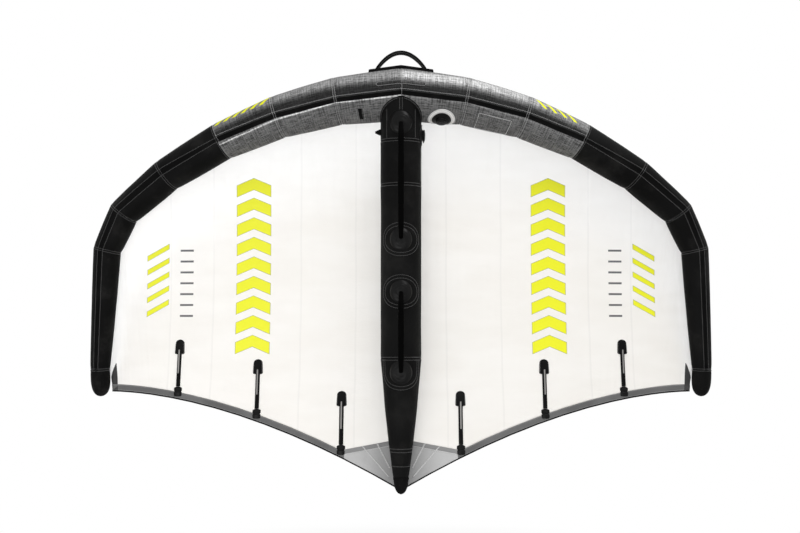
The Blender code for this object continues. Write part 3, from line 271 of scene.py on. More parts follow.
class Tube:
    """Straight tapering lengths that meet in mitred seams."""

    def __init__(self, centres, radii, first_mitre, underside):
        self.centres = [Vector(centre) for centre in centres]
        self.radii = list(radii)
        steps = [after - before for before, after in zip(self.centres, self.centres[1:])]
        self.lengths = [step.length for step in steps]
        self.ways = [step.normalized() for step in steps]
        self.mitres = [Vector(first_mitre).normalized()]
        for before, after in zip(self.ways, self.ways[1:]):
            self.mitres.append((before + after).normalized())
        self.mitres.append(self.ways[-1])
        way = self.ways[0]
        side = Vector(underside)
        side = (side - way * side.dot(way)).normalized()
        front = Vector((0, -1, 0))
        front = (front - way * front.dot(way) - side * front.dot(side)).normalized()
        self.fronts, self.sides = [front], [side]
        for mitre in self.mitres[1:-1]:
            self.fronts.append(self.fronts[-1] - mitre * (2 * self.fronts[-1].dot(mitre)))
            self.sides.append(self.sides[-1] - mitre * (2 * self.sides[-1].dot(mitre)))

    def outward(self, length, angle):
        """Direction out of one length at an angle from its front line towards its trailing side."""
        length = max(0, min(length, len(self.ways) - 1))
        return self.fronts[length] * math.cos(angle) + self.sides[length] * math.sin(angle)

    def seam_point(self, station, angle, height=0.0, length=None):
        """Point on a mitred seam, seen from one of the two lengths that meet there."""
        length = min(station if length is None else length, len(self.ways) - 1)
        way, mitre = self.ways[length], self.mitres[station]
        out = self.outward(length, angle)
        slanted = out - way * (out.dot(mitre) / way.dot(mitre))
        return self.centres[station] + slanted * (self.radii[station] + height)

    def split(self, station):
        """A place between two seams as the number of its length and the share along it."""
        length = max(0, min(int(station), len(self.ways) - 1))
        return length, station - length

    def on(self, station, angle, height=0.0):
        """Point over the skin; station counts lengths and may fall between two seams."""
        length, share = self.split(station)
        near = self.seam_point(length, angle, 0, length)
        far = self.seam_point(length + 1, angle, 0, length)
        return near.lerp(far, share) + self.outward(length, angle) * height

    def out(self, station, angle):
        return self.outward(self.split(station)[0], angle)

    def radius(self, station):
        length, share = self.split(station)
        return self.radii[length] + (self.radii[length + 1] - self.radii[length]) * share

    def travel(self, station):
        """Distance along the middle line from the first seam."""
        length, share = self.split(station)
        return sum(self.lengths[:length]) + self.lengths[length] * share

    def station(self, travel):
        length = 0
        while length < len(self.lengths) - 1 and travel > self.lengths[length]:
            travel -= self.lengths[length]
            length += 1
        return length + travel / self.lengths[length]

    def at_drop(self, drop):
        """The station at which the middle line is this far down."""
        for length, (before, after) in enumerate(zip(self.centres, self.centres[1:])):
            if -after.z >= drop:
                return length + (drop + before.z) / (before.z - after.z)
        return float(len(self.lengths))

    def at_reach(self, reach):
        """The station at which the middle line is this far from the centre line."""
        for length, (before, after) in enumerate(zip(self.centres, self.centres[1:])):
            if abs(after.x) >= reach:
                return length + (reach - abs(before.x)) / (abs(after.x) - abs(before.x))
        return float(len(self.lengths))


def ramp(value, places, heights):
    """Straight-line reading of a table at one value."""
    for (left, right), (low, high) in zip(zip(places, places[1:]), zip(heights, heights[1:])):
        if value <= right:
            return low + (high - low) * max(0, (value - left) / (right - left))
    return heights[-1]


def smooth(value):
    """0 below 0, 1 above 1, and an even rise between."""
    value = max(0.0, min(1.0, value))
    return value * value * (3 - 2 * value)


def bump(distance, width):
    """1 at no distance, fading to nothing over a width."""
    return math.exp(-(distance / width) ** 2)


def round_off(share):
    """Rises from 0 at an end to 1 a little way in, as a quarter of a circle does."""
    return math.sqrt(max(0.0, 1 - (1 - min(1.0, share)) ** 2))


def turn_of(u):
    """Angle round a tube for a share of its girth, from the back round to the back again."""
    return 2 * math.pi * u - math.pi


print("bump one width out", round(bump(1, 1), 3))

# %% [markdown]
# ## Sizes
#
# The driving sizes of the wing, as its solids have them: half span, drop and rise of the tips, the
# radii, and how far along each seam falls.

# %% Leading edge sizes
TIP_REACH, TIP_DROP, TIP_RISE = 1.373, 1.222, 0.199
CENTRE_TUBE_RADIUS, TIP_TUBE_RADIUS = 0.1135, 0.0427
TIP_CAP_LENGTH, TIP_CAP_TOE_IN, TIP_CAP_RISE = 0.122, 0.007, 0.005
REACH_SHARES = (0, 0.206, 0.402, 0.591, 0.776, 0.922, 0.979, 1)
DROP_SHARES = (0, 0.020, 0.074, 0.160, 0.281, 0.418, 0.556, 1)
RISE_SHARES = (0, 0.098, 0.220, 0.366, 0.537, 0.707, 0.805, 1)
SLIM_SHARES = (0, 0.122, 0.266, 0.420, 0.538, 0.668, 0.760, 1)
CASING_WALL = 0.0012
GREY_LENGTHS = 3
HANDLE_FOOT_REACH = 0.109
HANDLE_APEX_HEIGHT, HANDLE_THICKNESS = 0.194, 0.016
HANDLE_BASE_THICKNESS = 0.0045
SIDES = {-1: "left", 1: "right"}


def leading_edge(way):
    centres = [
        (way * TIP_REACH * reach, TIP_RISE * rise, -TIP_DROP * drop)
        for reach, rise, drop in zip(REACH_SHARES, RISE_SHARES, DROP_SHARES)
    ]
    slimming = TIP_TUBE_RADIUS - CENTRE_TUBE_RADIUS
    radii = [CENTRE_TUBE_RADIUS + slimming * share for share in SLIM_SHARES]
    tip = (way * (TIP_REACH - TIP_CAP_TOE_IN), TIP_RISE + TIP_CAP_RISE, -TIP_DROP - TIP_CAP_LENGTH)
    return Tube(centres + [tip], radii + [TIP_TUBE_RADIUS], (way, 0, 0), (0, 0, -1))


edges = {way: leading_edge(way) for way in SIDES}


def top_of_edge(reach, height):
    """Point over the top line of the first length at a reach from the centre line."""
    edge = edges[1]
    travel = reach / edge.ways[0].x
    for _ in range(3):
        share = travel / edge.lengths[0]
        radius = edge.radii[0] + (edge.radii[1] - edge.radii[0]) * share
        point = edge.centres[0] + edge.ways[0] * travel - edge.sides[0] * (radius + height)
        travel -= (point.x - reach) / edge.ways[0].x
    return point


grip_depth = top_of_edge(HANDLE_FOOT_REACH, HANDLE_BASE_THICKNESS).y
WING_SHIFT = Vector((0, -grip_depth, -(HANDLE_APEX_HEIGHT - HANDLE_THICKNESS / 2)))
print("wing shift", [round(value, 4) for value in WING_SHIFT])

# %% [markdown]
# ## The canopy's surface
#
# The canopy is one cambered sheet on each side of the strut. Its ribs are straight lines from the seam on
# the leading edge to the trailing edge, raised in the middle by the camber. The same rules made the
# solids, so battens, bands and patches laid with them sit on the sheet.

# %% Canopy surface
TAIL_DROP, TAIL_RISE = 1.735, 0.050
CORNER_REACH, CORNER_DROP, CORNER_RISE = TIP_REACH - 0.055, TIP_DROP + 0.098, TIP_RISE + 0.013
CAMBER_SHARE = 0.036
TRAILING_CURVE_POWER = 1.75
CANOPY_SEAM_ANGLE = math.radians(135)
CANOPY_THICKNESS = 0.0008
GAP = 0.0003
TRAILING_BAND_WIDTH = 0.030
TRAILING_RIB_SHARES = (0, 0.19, 0.37, 0.55, 0.72, 0.86, 0.94, 1)
COLUMNS_PER_LENGTH = 2
CANOPY_ROWS = 10
LAST_RIB = COLUMNS_PER_LENGTH * (len(TRAILING_RIB_SHARES) - 1)
NUDGE, HALVINGS = 0.02, 28


def trailing_point(share, way):
    """Point on the trailing edge, from the tail at 0 to the tip corner at 1."""
    lift = 1 - (1 - share) ** TRAILING_CURVE_POWER
    return Vector((
        way * CORNER_REACH * share,
        TAIL_RISE + (CORNER_RISE - TAIL_RISE) * share,
        -TAIL_DROP + (TAIL_DROP - CORNER_DROP) * lift,
    ))


def trailing_drop(reach):
    return -trailing_point(reach / CORNER_REACH, 1).z


class Canopy:
    def __init__(self, edge, way):
        self.way = way
        seat = GAP + CANOPY_THICKNESS / 2
        stations = range(len(TRAILING_RIB_SHARES))
        heads = [edge.seam_point(station, CANOPY_SEAM_ANGLE, seat) for station in stations]
        self.heads, self.feet = [], []
        for index in range(len(heads) - 1):
            low, high = TRAILING_RIB_SHARES[index:index + 2]
            for step in range(COLUMNS_PER_LENGTH):
                share = step / COLUMNS_PER_LENGTH
                self.heads.append(heads[index].lerp(heads[index + 1], share))
                self.feet.append(trailing_point(low + (high - low) * share, way))
        self.heads.append(heads[-1])
        self.feet.append(trailing_point(1, way))
        for line in (self.heads, self.feet):
            line[0].x += way * GAP / 2

    def between(self, line, rib):
        left = max(0, min(int(rib), len(line) - 2))
        return line[left].lerp(line[left + 1], rib - left)

    def rib_point(self, rib, share):
        head, foot = self.between(self.heads, rib), self.between(self.feet, rib)
        point = head.lerp(foot, share)
        point.y += 4 * CAMBER_SHARE * (foot - head).length * share * (1 - share)
        return point

    def chord(self, rib):
        return (self.between(self.feet, rib) - self.between(self.heads, rib)).length

    def band_share(self, rib):
        return 1 - TRAILING_BAND_WIDTH / self.chord(rib)

    def find(self, reach, drop):
        """The rib and share that lie at a reach and a drop."""
        low, high = 0.0, float(LAST_RIB)
        for _ in range(HALVINGS):
            rib = (low + high) / 2
            head, foot = self.between(self.heads, rib), self.between(self.feet, rib)
            share = (head.z + drop) / (head.z - foot.z)
            if abs(head.lerp(foot, share).x) < reach:
                low = rib
            else:
                high = rib
        return rib, share

    def face(self, rib, share):
        """Direction out of the sheet towards the rider."""
        across = self.rib_point(rib + NUDGE, share) - self.rib_point(rib - NUDGE, share)
        along = self.rib_point(rib, share + NUDGE) - self.rib_point(rib, share - NUDGE)
        out = across.cross(along).normalized()
        return -out if out.y > 0 else out


canopies = {way: Canopy(edge, way) for way, edge in edges.items()}
print("centre chord", round(canopies[1].chord(0), 3), "tip chord", round(canopies[1].chord(LAST_RIB), 3))

# %% [markdown]
# ## The strut's line
#
# The strut hangs under the centre rib of the canopy, so its middle line is that rib, moved out by the
# strut's own radius. It keeps its width over most of its length and tapers to the tail.

# %% Strut
STRUT_RADIUS, STRUT_WAIST_RADIUS, STRUT_END_RADIUS = 0.0909, 0.0885, 0.0336
STRUT_OVERLAP = 0.10
STRUT_SEAM_DROPS = (0.203, 0.402, 1.174, 1.682)
STRUT_CAP_LENGTH = 0.070
TAPER_DROP_SHARES = (0, 0.24, 0.44, 0.63, 0.83, 1)
TAPER_RADIUS_SHARES = (1, 0.81, 0.65, 0.45, 0.25, 0)


def strut_radius(drop):
    waist, end = STRUT_SEAM_DROPS[2:]
    if drop <= waist:
        return STRUT_RADIUS + (STRUT_WAIST_RADIUS - STRUT_RADIUS) * max(0, drop) / waist
    share = ramp((drop - waist) / (end - waist), TAPER_DROP_SHARES, TAPER_RADIUS_SHARES)
    return STRUT_END_RADIUS + (STRUT_WAIST_RADIUS - STRUT_END_RADIUS) * share


def strut_tube(canopy):
    """The strut's tube and the station of each of its cross seams."""
    band = canopy.band_share(0)
    rows = [canopy.rib_point(0, band * row / CANOPY_ROWS) for row in range(CANOPY_ROWS + 1)]
    rows.append(canopy.rib_point(0, 1))
    drops = [-point.z for point in rows]
    depths = [point.y for point in rows]
    slope = (depths[1] - depths[0]) / (drops[1] - drops[0])
    kept = [drops[0] - STRUT_OVERLAP] + [drop for drop in drops if drop < STRUT_SEAM_DROPS[-1]]
    spacing = STRUT_CAP_LENGTH / 2
    stations = sorted(STRUT_SEAM_DROPS + tuple(
        drop for drop in kept if all(abs(drop - seam) > spacing for seam in STRUT_SEAM_DROPS)
    ))
    stations.append(STRUT_SEAM_DROPS[-1] + STRUT_CAP_LENGTH)

    def depth(drop):
        if drop < drops[0]:
            return depths[0] + slope * (drop - drops[0])
        return ramp(drop, drops, depths)

    spine = [Vector((0, depth(drop), -drop)) for drop in stations]
    ways = [(after - before).normalized() for before, after in zip(spine, spine[1:])]
    seat = GAP + CANOPY_THICKNESS / 2
    centres = []
    for index, drop in enumerate(stations):
        before, after = ways[max(0, index - 1)], ways[min(index, len(ways) - 1)]
        way = (before + after).normalized()
        out = Vector((0, way.z, -way.y))
        reach = (strut_radius(drop) + seat) / math.cos(before.angle(after) / 2)
        centres.append(spine[index] + out * reach)
    tube = Tube(centres, [strut_radius(drop) for drop in stations], ways[0], (1, 0, 0))
    return tube, [stations.index(seam) for seam in STRUT_SEAM_DROPS]


strut, strut_seams = strut_tube(canopies[1])
print("strut seams at stations", strut_seams)

# %% [markdown]
# ## Laying cloth
#
# Every cloth piece starts as a flat grid, just as it is cut, and is then laid in place point by point. A
# tube is the same grid rolled up, with its two long edges merged. The flat grid gives each piece a UV map
# in metres for nothing, so a weave has the same size on every piece and follows the way it was cut.
# Drawing the faces by hand would need lists of vertices; the grid operator makes them all.

# %% Cloth helpers
MERGE_DISTANCE = 1e-5
NARROWEST_CUT = 0.0102
LEAST_USE = 0.6
JUST_INSIDE = 1e-6
SLOTS = {
    "strut_cloth": "black_cloth", "strip_cloth": "black_cloth", "band_cloth": "edge_band",
    "gusset_cloth": "edge_band", "patch_hem": "patch_cloth", "light_tape": "patch_cloth",
    "ring_cloth": "valve_ring_cloth", "canopy_film": "canopy_cloth", "moulded_rubber": "black_rubber",
    "fitting_plastic": "black_moulding", "light_thread": None, "dim_thread": None, "white_thread": None,
}


def lay_grid(builder, columns, rows, place, cut):
    """Add a grid; place(u, v) gives each point and cut(u, v) its place on the flat cloth."""
    layer = builder.loops.layers.uv.verify()
    made = bmesh.ops.create_grid(builder, x_segments=columns, y_segments=rows, size=0.5)["verts"]
    flat = {vertex: (vertex.co.x + 0.5, vertex.co.y + 0.5) for vertex in made}
    for face in {face for vertex in made for face in vertex.link_faces}:
        for loop in face.loops:
            loop[layer].uv = cut(*flat[loop.vert])
    for vertex in made:
        vertex.co = place(*flat[vertex])
    return made


def cut_flat(width, length):
    """Rule for the flat place of a point on a cloth of this size."""
    return lambda u, v: (u * width, v * length)


def grid_of(columns, rows, place, cut):
    """A new builder with one grid in it."""
    builder = bmesh.new()
    lay_grid(builder, columns, rows, place, cut)
    return builder


def add_piece(name, builder, finish, body=ROOT, replaces=(), slot=None, thickness=0.0, smooth_angle=40):
    """Merge, turn the faces outwards, move into the frame and hang the piece on its body.

    A slot name is worked out from the finish unless another one is given; nothing uses it.
    """
    bmesh.ops.remove_doubles(builder, verts=builder.verts, dist=MERGE_DISTANCE)
    bmesh.ops.recalc_face_normals(builder, faces=builder.faces)
    bmesh.ops.translate(builder, vec=WING_SHIFT, verts=builder.verts)
    mesh = bpy.data.meshes.new(name)
    builder.to_mesh(mesh)
    builder.free()
    mesh.shade_smooth()
    mesh.set_sharp_from_angle(angle=math.radians(smooth_angle))
    mesh.materials.append(finish)
    piece = bpy.data.objects.new(name, mesh)
    bpy.context.collection.objects.link(piece)
    if thickness:
        wall = piece.modifiers.new("thickness", "SOLIDIFY")
        wall.thickness = thickness
        wall.offset = -1
        wall.use_even_offset = True
    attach(piece, body)
    if replaces:
        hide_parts(*replaces)
    # Blender puts a number behind a name that the solids' finishes already have
    finish_name = finish.name.split(".")[0]
    slot = slot or SLOTS.get(finish_name, finish_name)
    return piece


def area_of(piece):
    return sum(face.area for face in piece.data.polygons)


def add_cloth(name, builder, finish, width, length, rests_on, **settings):
    """A piece that is a sheet of a width and a length; for narrow tape the width is raised to the narrowest
    cut, but the result is not used.
    """
    piece = add_piece(name, builder, finish, **settings)
    area = area_of(piece)
    width = max(NARROWEST_CUT, min(width, area / (LEAST_USE * length)))
    return piece


print("finishes with a slot of another name", len(SLOTS))

# %% [markdown]
# ## Shared effects
#
# Seen close, the cloth of such a wing is a plain weave of fine threads with a stronger thread every few
# millimetres. From further off only its lie shows: soft rumples and a little dust on the black. Each of
# these is a group that reads a place in metres.

# %% Shared effects
sheet, given, result = new_group(
    "woven_threads", [("Vector", VECTOR, None), ("Pitch", FLOAT, 0.0012)], ["Height", "Crossing"])
threads = sheet.add("ShaderNodeVectorMath", {0: given["Vector"]}, operation="SCALE")
sheet.feed(threads.inputs["Scale"], sheet.math("DIVIDE", math.pi, given["Pitch"]))
across, along, _ = sheet.split(threads.outputs[0])
over = sheet.math("ABSOLUTE", sheet.math("SINE", across))
under = sheet.math("ABSOLUTE", sheet.math("SINE", along))
sheet.feed(result["Height"], sheet.math("MULTIPLY", over, under))
sheet.feed(result["Crossing"], sheet.math("MAXIMUM", over, under))

sheet, given, result = new_group(
    "ripstop_lines",
    [("Vector", VECTOR, None), ("Spacing", FLOAT, 0.006), ("Width", FLOAT, 0.0008)], ["Lines"])
across, along, _ = sheet.split(given["Vector"])
lines = []
for value in (across, along):
    turn = sheet.math("WRAP", value, given["Spacing"])
    sheet.feed(turn.node.inputs[2], 0.0)
    edge_distance = sheet.math("ABSOLUTE", turn)
    lines.append(sheet.math("LESS_THAN", edge_distance, given["Width"]))
sheet.feed(result["Lines"], sheet.math("MAXIMUM", *lines))

sheet, given, result = new_group("heather_flecks", [("Vector", VECTOR, None)], ["Flecks"])
streaks = []
for scale in ((260, 15, 1), (11, 300, 1), (760, 70, 1)):
    streaks.append(sheet.noise(sheet.scaled(given["Vector"], scale), 1.0, 2.0))
woven = sheet.math("ADD", sheet.math("ADD", streaks[0], streaks[1]), streaks[2])
sheet.feed(result["Flecks"], sheet.ramp(woven, 1.26, 1.74))

sheet, given, result = new_group(
    "cloth_rumple", [("Vector", VECTOR, None), ("Size", FLOAT, 0.05)], ["Height", "Broad"])
scale = sheet.math("DIVIDE", 1.0, given["Size"])
fine = sheet.noise(given["Vector"], scale, 4.0, 0.55)
broad = sheet.noise(given["Vector"], sheet.math("MULTIPLY", scale, 0.22), 2.0)
sheet.feed(result["Height"], sheet.math("ADD", fine, sheet.math("MULTIPLY", broad, 2.0)))
sheet.feed(result["Broad"], broad)

sheet, given, result = new_group(
    "dust", [("Vector", VECTOR, None), ("Amount", FLOAT, 0.5)], ["Mask"])
cloud = sheet.ramp(sheet.noise(given["Vector"], 9.0, 5.0, 0.6), 0.48, 0.72)
speck = sheet.ramp(sheet.noise(given["Vector"], 420.0, 2.0), 0.58, 0.74)
both = sheet.math("MULTIPLY", cloud, sheet.math("ADD", 0.35, speck))
sheet.feed(result["Mask"], sheet.math("MULTIPLY", both, given["Amount"], clamp=True))

sheet, given, result = new_group(
    "printed_bars",
    [("Vector", VECTOR, None), ("Centre", FLOAT, 0.0), ("Half", FLOAT, 0.05), ("Start", FLOAT, 0.0),
     ("Length", FLOAT, 0.5), ("Pitch", FLOAT, 0.09), ("Bar", FLOAT, 0.05), ("Slant", FLOAT, 0.0),
     ("Chevron", FLOAT, 0.0), ("Outline", FLOAT, 0.002)],
    ["Fill", "Whole"])
across, along, _ = sheet.split(given["Vector"])
aside = sheet.math("SUBTRACT", across, given["Centre"])
apart = sheet.math("ABSOLUTE", aside)
lead = sheet.math(
    "ADD", sheet.math("MULTIPLY", aside, given["Slant"]), sheet.math("MULTIPLY", apart, given["Chevron"]))
down = sheet.math("SUBTRACT", sheet.math("SUBTRACT", along, given["Start"]), lead)
turn = sheet.math("FLOORED_MODULO", down, given["Pitch"])
inside = sheet.math("MINIMUM", turn, sheet.math("SUBTRACT", given["Bar"], turn))
inside = sheet.math("MINIMUM", inside, sheet.math("SUBTRACT", given["Half"], apart))
inside = sheet.math("MINIMUM", inside, down)
inside = sheet.math("MINIMUM", inside, sheet.math("SUBTRACT", given["Length"], down))
sheet.feed(result["Whole"], sheet.ramp(inside, 0.0, 0.0004))
soft_line = sheet.math("ADD", given["Outline"], 0.0004)
sheet.feed(result["Fill"], sheet.ramp(inside, given["Outline"], soft_line))
print("groups", sorted(GROUPS))

# %% [markdown]
# ## Cloth finishes
#
# One rule makes all the cloths: a colour that varies a little with the lie of the cloth, a dusty tint
# where hands and sand have been, a weave, a stronger grid and soft rumples for the bump. What changes
# from cloth to cloth is only its colours, its pitch and how rough it is. The heather cloth also has
# painted shade towards the closing strip and over its lower half, a painted highlight on its upper half
# and along a fold below the strip, a lighter band on its seam laps with painted shade in the creases
# beside them, and printed bars.

# %% Cloth finishes
RUMPLE_DEPTH = 0.004
WEAVE_DEPTH = 0.0002


def grey(level, warmth=0.0):
    return (level * (1 + warmth), level, level * (1 - warmth), 1)


CLOTH_SPECULAR = 0.045
DUST_COLOUR = grey(0.09, 0.05)
YELLOW = (0.92, 0.93, 0.012, 1)
PRINT_LINE, PALE_LINE = (0.42, 0.44, 0.14, 1), grey(0.62)
# Painted shade on the heather: the upper half darkens from the top of the tube down to the closing strip, and
# the lower half is darker all over.
SHADE_FOOT, SHADE_TOP, SHADE_LEAST, SHADE_NEARER = -0.014, -0.062, 0.13, 1.42
STRIP_PLACE, STRIP_SOFT, LOWER_HALF_SHADE = 0.024, 0.002, 0.72
# Painted highlight on the upper half of the heather, strongest right of the middle and near the centre.
HIGHLIGHT_PLACE, HIGHLIGHT_REACH, HIGHLIGHT_TRAVELS, HIGHLIGHT_BY_SIDE = -0.072, (0.040, 0.012), (0.90, 0.30), (0.42, 1.75)
# Painted highlight along the fold just below the closing strip, mostly on the left.
FOLD_HIGHLIGHT_PLACE, FOLD_HIGHLIGHT_REACH, FOLD_HIGHLIGHT_BY_SIDE = 0.0365, (0.0050, 0.0018), (2.3, 0.2)
LAP_REACH, LAP_GAIN = 0.0068, 0.24
# Painted shade in the creases on both sides of each seam lap of the heather.
CREASE_SHADE_PLACE, CREASE_SHADE_REACH, CREASE_SHADE_GAIN = 0.0088, 0.0017, -0.34
SEAM_TRAVELS = [edges[1].travel(seam) for seam in (1, 2)]
HEATHER_PRINTS = (
    (YELLOW, PRINT_LINE, dict(Centre=-0.086, Half=0.027, Start=-0.815, Length=0.255, Pitch=0.043,
                              Bar=0.024, Slant=-0.8, Outline=0.0022)),
    (YELLOW, PRINT_LINE, dict(Centre=-0.072, Half=0.025, Start=0.600, Length=0.190, Pitch=0.048,
                              Bar=0.019, Slant=0.9, Outline=0.0022)),
    (None, PALE_LINE, dict(Centre=-0.122, Half=0.034, Start=0.310, Length=0.240, Pitch=0.040,
                           Bar=0.026, Slant=0.5, Outline=0.0040)),
)


def place_group(sheet, name, **inputs):
    node = sheet.add("ShaderNodeGroup", node_tree=GROUPS[name])
    for key, value in inputs.items():
        sheet.feed(node.inputs[key], value)
    return node.outputs


def new_finish(name, roughness):
    """A material, its sheet of nodes and its shader."""
    finish = bpy.data.materials.new(name)
    finish.use_nodes = True
    shader = finish.node_tree.nodes["Principled BSDF"]
    shader.inputs["Roughness"].default_value = roughness
    return finish, NodeSheet(finish.node_tree), shader


def add_relief(sheet, shader, layers):
    """Chain of bumps: each layer is a height socket, a strength and a depth in metres."""
    normal = None
    for height, strength, depth in layers:
        inputs = {"Height": height, "Strength": strength, "Distance": depth}
        if normal is not None:
            inputs["Normal"] = normal
        normal = sheet.add("ShaderNodeBump", inputs).outputs[0]
    sheet.feed(shader.inputs["Normal"], normal)


def cloth(name, low, high, roughness, pitch=0.0012, ripstop=0.006, dust=0.25, rumple=0.05,
          tone=None, prints=None):
    """A cloth between two colours; tone replaces the rule that picks between them."""
    finish, sheet, shader = new_finish(name, roughness)
    coords = sheet.add("ShaderNodeTexCoord").outputs
    flat, place = coords["UV"], coords["Object"]
    lie = place_group(sheet, "cloth_rumple", Vector=place, Size=rumple)
    shade = sheet.ramp(lie["Broad"], 0.35, 0.65) if tone is None else tone(sheet, flat)
    colour = sheet.mix(shade, low, high)
    lines = place_group(sheet, "ripstop_lines", Vector=flat, Spacing=ripstop)["Lines"]
    brighter = tuple(min(1.0, value * 1.12) for value in high[:3]) + (1,)
    colour = sheet.mix(sheet.math("MULTIPLY", lines, 0.25), colour, brighter)
    # the prints hook lays printed bars, and for the heather also painted shade and painted highlights
    if prints:
        colour = prints(sheet, flat, place, colour)
    specks = place_group(sheet, "dust", Vector=place, Amount=dust)["Mask"]
    colour = sheet.mix(specks, colour, DUST_COLOUR)
    sheet.feed(shader.inputs["Base Color"], colour)
    weave = place_group(sheet, "woven_threads", Vector=flat, Pitch=pitch)
    worn = sheet.ramp(weave["Crossing"], 0, 1, roughness + 0.08, roughness - 0.04)
    sheet.feed(shader.inputs["Roughness"], worn)
    add_relief(sheet, shader, [
        (lie["Height"], 0.35, RUMPLE_DEPTH), (lines, 0.25, WEAVE_DEPTH), (weave["Height"], 0.5, WEAVE_DEPTH)])
    shader.inputs["Specular IOR Level"].default_value = CLOTH_SPECULAR
    return finish


def moulding(name, plain_roughness, skin, relief, wear, wear_limits, levels, roughness, specular):
    """Moulded rubber or plastic: a fine skin, and two tones where hands have worn it."""
    finish, sheet, shader = new_finish(name, plain_roughness)
    place = sheet.add("ShaderNodeTexCoord").outputs["Object"]
    worn = sheet.ramp(sheet.noise(place, *wear), *wear_limits)
    sheet.feed(shader.inputs["Base Color"], sheet.mix(worn, *(grey(level) for level in levels)))
    sheet.feed(shader.inputs["Roughness"], sheet.ramp(worn, 0, 1, *roughness))
    add_relief(sheet, shader, [(sheet.noise(place, *skin), *relief)])
    shader.inputs["Specular IOR Level"].default_value = specular
    return finish


def print_bars(sheet, colour, place, fill, line, sizes):
    """Colour with printed bars over it, and where they are; with no fill they are outlines."""
    masks = place_group(sheet, "printed_bars", Vector=place, **sizes)
    printed = sheet.mix(masks["Fill"], sheet.mix(masks["Whole"], colour, line), fill or colour)
    return printed, masks["Whole"]


def heather_tone(sheet, flat):
    return place_group(sheet, "heather_flecks", Vector=flat)["Flecks"]


def patch_layers_and_shade(sheet, flat):
    """Paler away from the strut: partly painted shade from the strut, partly fewer layers of cloth under it.
    """
    reach = sheet.split(flat)[0]
    return sheet.ramp(reach, 0.02, 0.19)


def times(sheet, colour, factor):
    return sheet.add("ShaderNodeVectorMath", {0: colour, "Scale": factor}, operation="SCALE").outputs[0]


def distance(sheet, value, place):
    return sheet.math("ABSOLUTE", sheet.math("SUBTRACT", value, place))


def heather_painted_light_and_prints(sheet, flat, place, colour):
    """Painted shade and highlights, seam laps and printed bars; travel counts as plus to the right and as
    minus to the left.
    """
    around, travel, _ = sheet.split(flat)
    right = sheet.ramp(sheet.split(place)[0], -0.001, 0.001)
    # painted shade: darker from the top of the tube down to the strip, and over the whole lower half below it
    upper = sheet.ramp(sheet.math("MULTIPLY", around, sheet.ramp(right, 0, 1, 1.0, SHADE_NEARER)),
                       SHADE_FOOT, SHADE_TOP, SHADE_LEAST, 1.0)
    lower = sheet.ramp(around, STRIP_PLACE - STRIP_SOFT, STRIP_PLACE + STRIP_SOFT, 0.0, LOWER_HALF_SHADE)
    factor = sheet.math("MAXIMUM", upper, lower)
    # painted highlight on the upper half, strongest on the right and fading away from the middle
    painted_highlight = sheet.math("MULTIPLY", sheet.ramp(distance(sheet, around, HIGHLIGHT_PLACE), *HIGHLIGHT_REACH),
                       sheet.ramp(travel, *HIGHLIGHT_TRAVELS))
    painted_highlight = sheet.math("MULTIPLY", painted_highlight, sheet.ramp(right, 0, 1, *HIGHLIGHT_BY_SIDE))
    # fold is a painted highlight along the fold just below the strip, mostly on the left
    fold = sheet.math("MULTIPLY", sheet.ramp(distance(sheet, around, FOLD_HIGHLIGHT_PLACE), *FOLD_HIGHLIGHT_REACH),
                      sheet.ramp(right, 0, 1, *FOLD_HIGHLIGHT_BY_SIDE))
    factor = sheet.math("ADD", sheet.math("ADD", factor, painted_highlight), fold)
    for seam_travel in SEAM_TRAVELS:
        apart = distance(sheet, travel, seam_travel)
        lap = sheet.math("MULTIPLY", sheet.math("LESS_THAN", apart, LAP_REACH), LAP_GAIN)
        # painted shade in the creases on both sides of the seam lap
        in_crease_shade = sheet.math("LESS_THAN", distance(sheet, apart, CREASE_SHADE_PLACE), CREASE_SHADE_REACH)
        crease = sheet.math("MULTIPLY", in_crease_shade, CREASE_SHADE_GAIN)
        factor = sheet.math("MULTIPLY", factor, sheet.math("ADD", 1.0, sheet.math("ADD", lap, crease)))
    colour = times(sheet, colour, factor)
    signed = sheet.math("MULTIPLY", travel, sheet.ramp(right, 0, 1, -1.0, 1.0))
    spot = sheet.add("ShaderNodeCombineXYZ", {0: around, 1: signed}).outputs[0]
    for row in HEATHER_PRINTS:
        colour, _ = print_bars(sheet, colour, spot, *row)
    return colour


heather_cloth = cloth("heather_cloth", grey(0.060), grey(0.30), 0.6, tone=heather_tone, prints=heather_painted_light_and_prints)
black_cloth = cloth("black_cloth", grey(0.0035), grey(0.0060), 0.62)
strut_cloth = cloth("strut_cloth", grey(0.0045), grey(0.0068), 0.60, dust=0.15)
strip_cloth = cloth("strip_cloth", grey(0.0015), grey(0.0028), 0.7, ripstop=0.003, dust=0.1)
band_cloth = cloth("band_cloth", grey(0.13), grey(0.17), 0.65, rumple=0.03)
gusset_cloth = cloth("gusset_cloth", grey(0.055), grey(0.080), 0.65, rumple=0.03)
patch_cloth = cloth("patch_cloth", grey(0.32), grey(0.55), 0.6, ripstop=0.004, rumple=0.03, tone=patch_layers_and_shade)
patch_hem = cloth("patch_hem", grey(0.26), grey(0.30), 0.65)
ring_cloth = cloth("ring_cloth", grey(0.84, 0.01), grey(0.90, 0.01), 0.55, dust=0.0, rumple=0.02)
webbing = cloth(
    "webbing", grey(0.0030), grey(0.0055), 0.75, pitch=0.0024, ripstop=0.008, dust=0.1, rumple=0.02)
print("cloth finishes", len(bpy.data.materials))

# %% [markdown]
# ## Casing of the leading edge
#
# Each length is cut flat, rolled and sewn to the next. Air pulls the panels tight, so they are almost
# true cones; what gives them away as cloth is the seam. There the tube is pinched, the lap of one panel
# lies on the other, and small puckers run away from the stitches. The long seam is hidden under a black
# strip that lies in a shallow valley. All of this is one height over the plain cone, so the stitches can
# ask for it too and lie on the cloth.

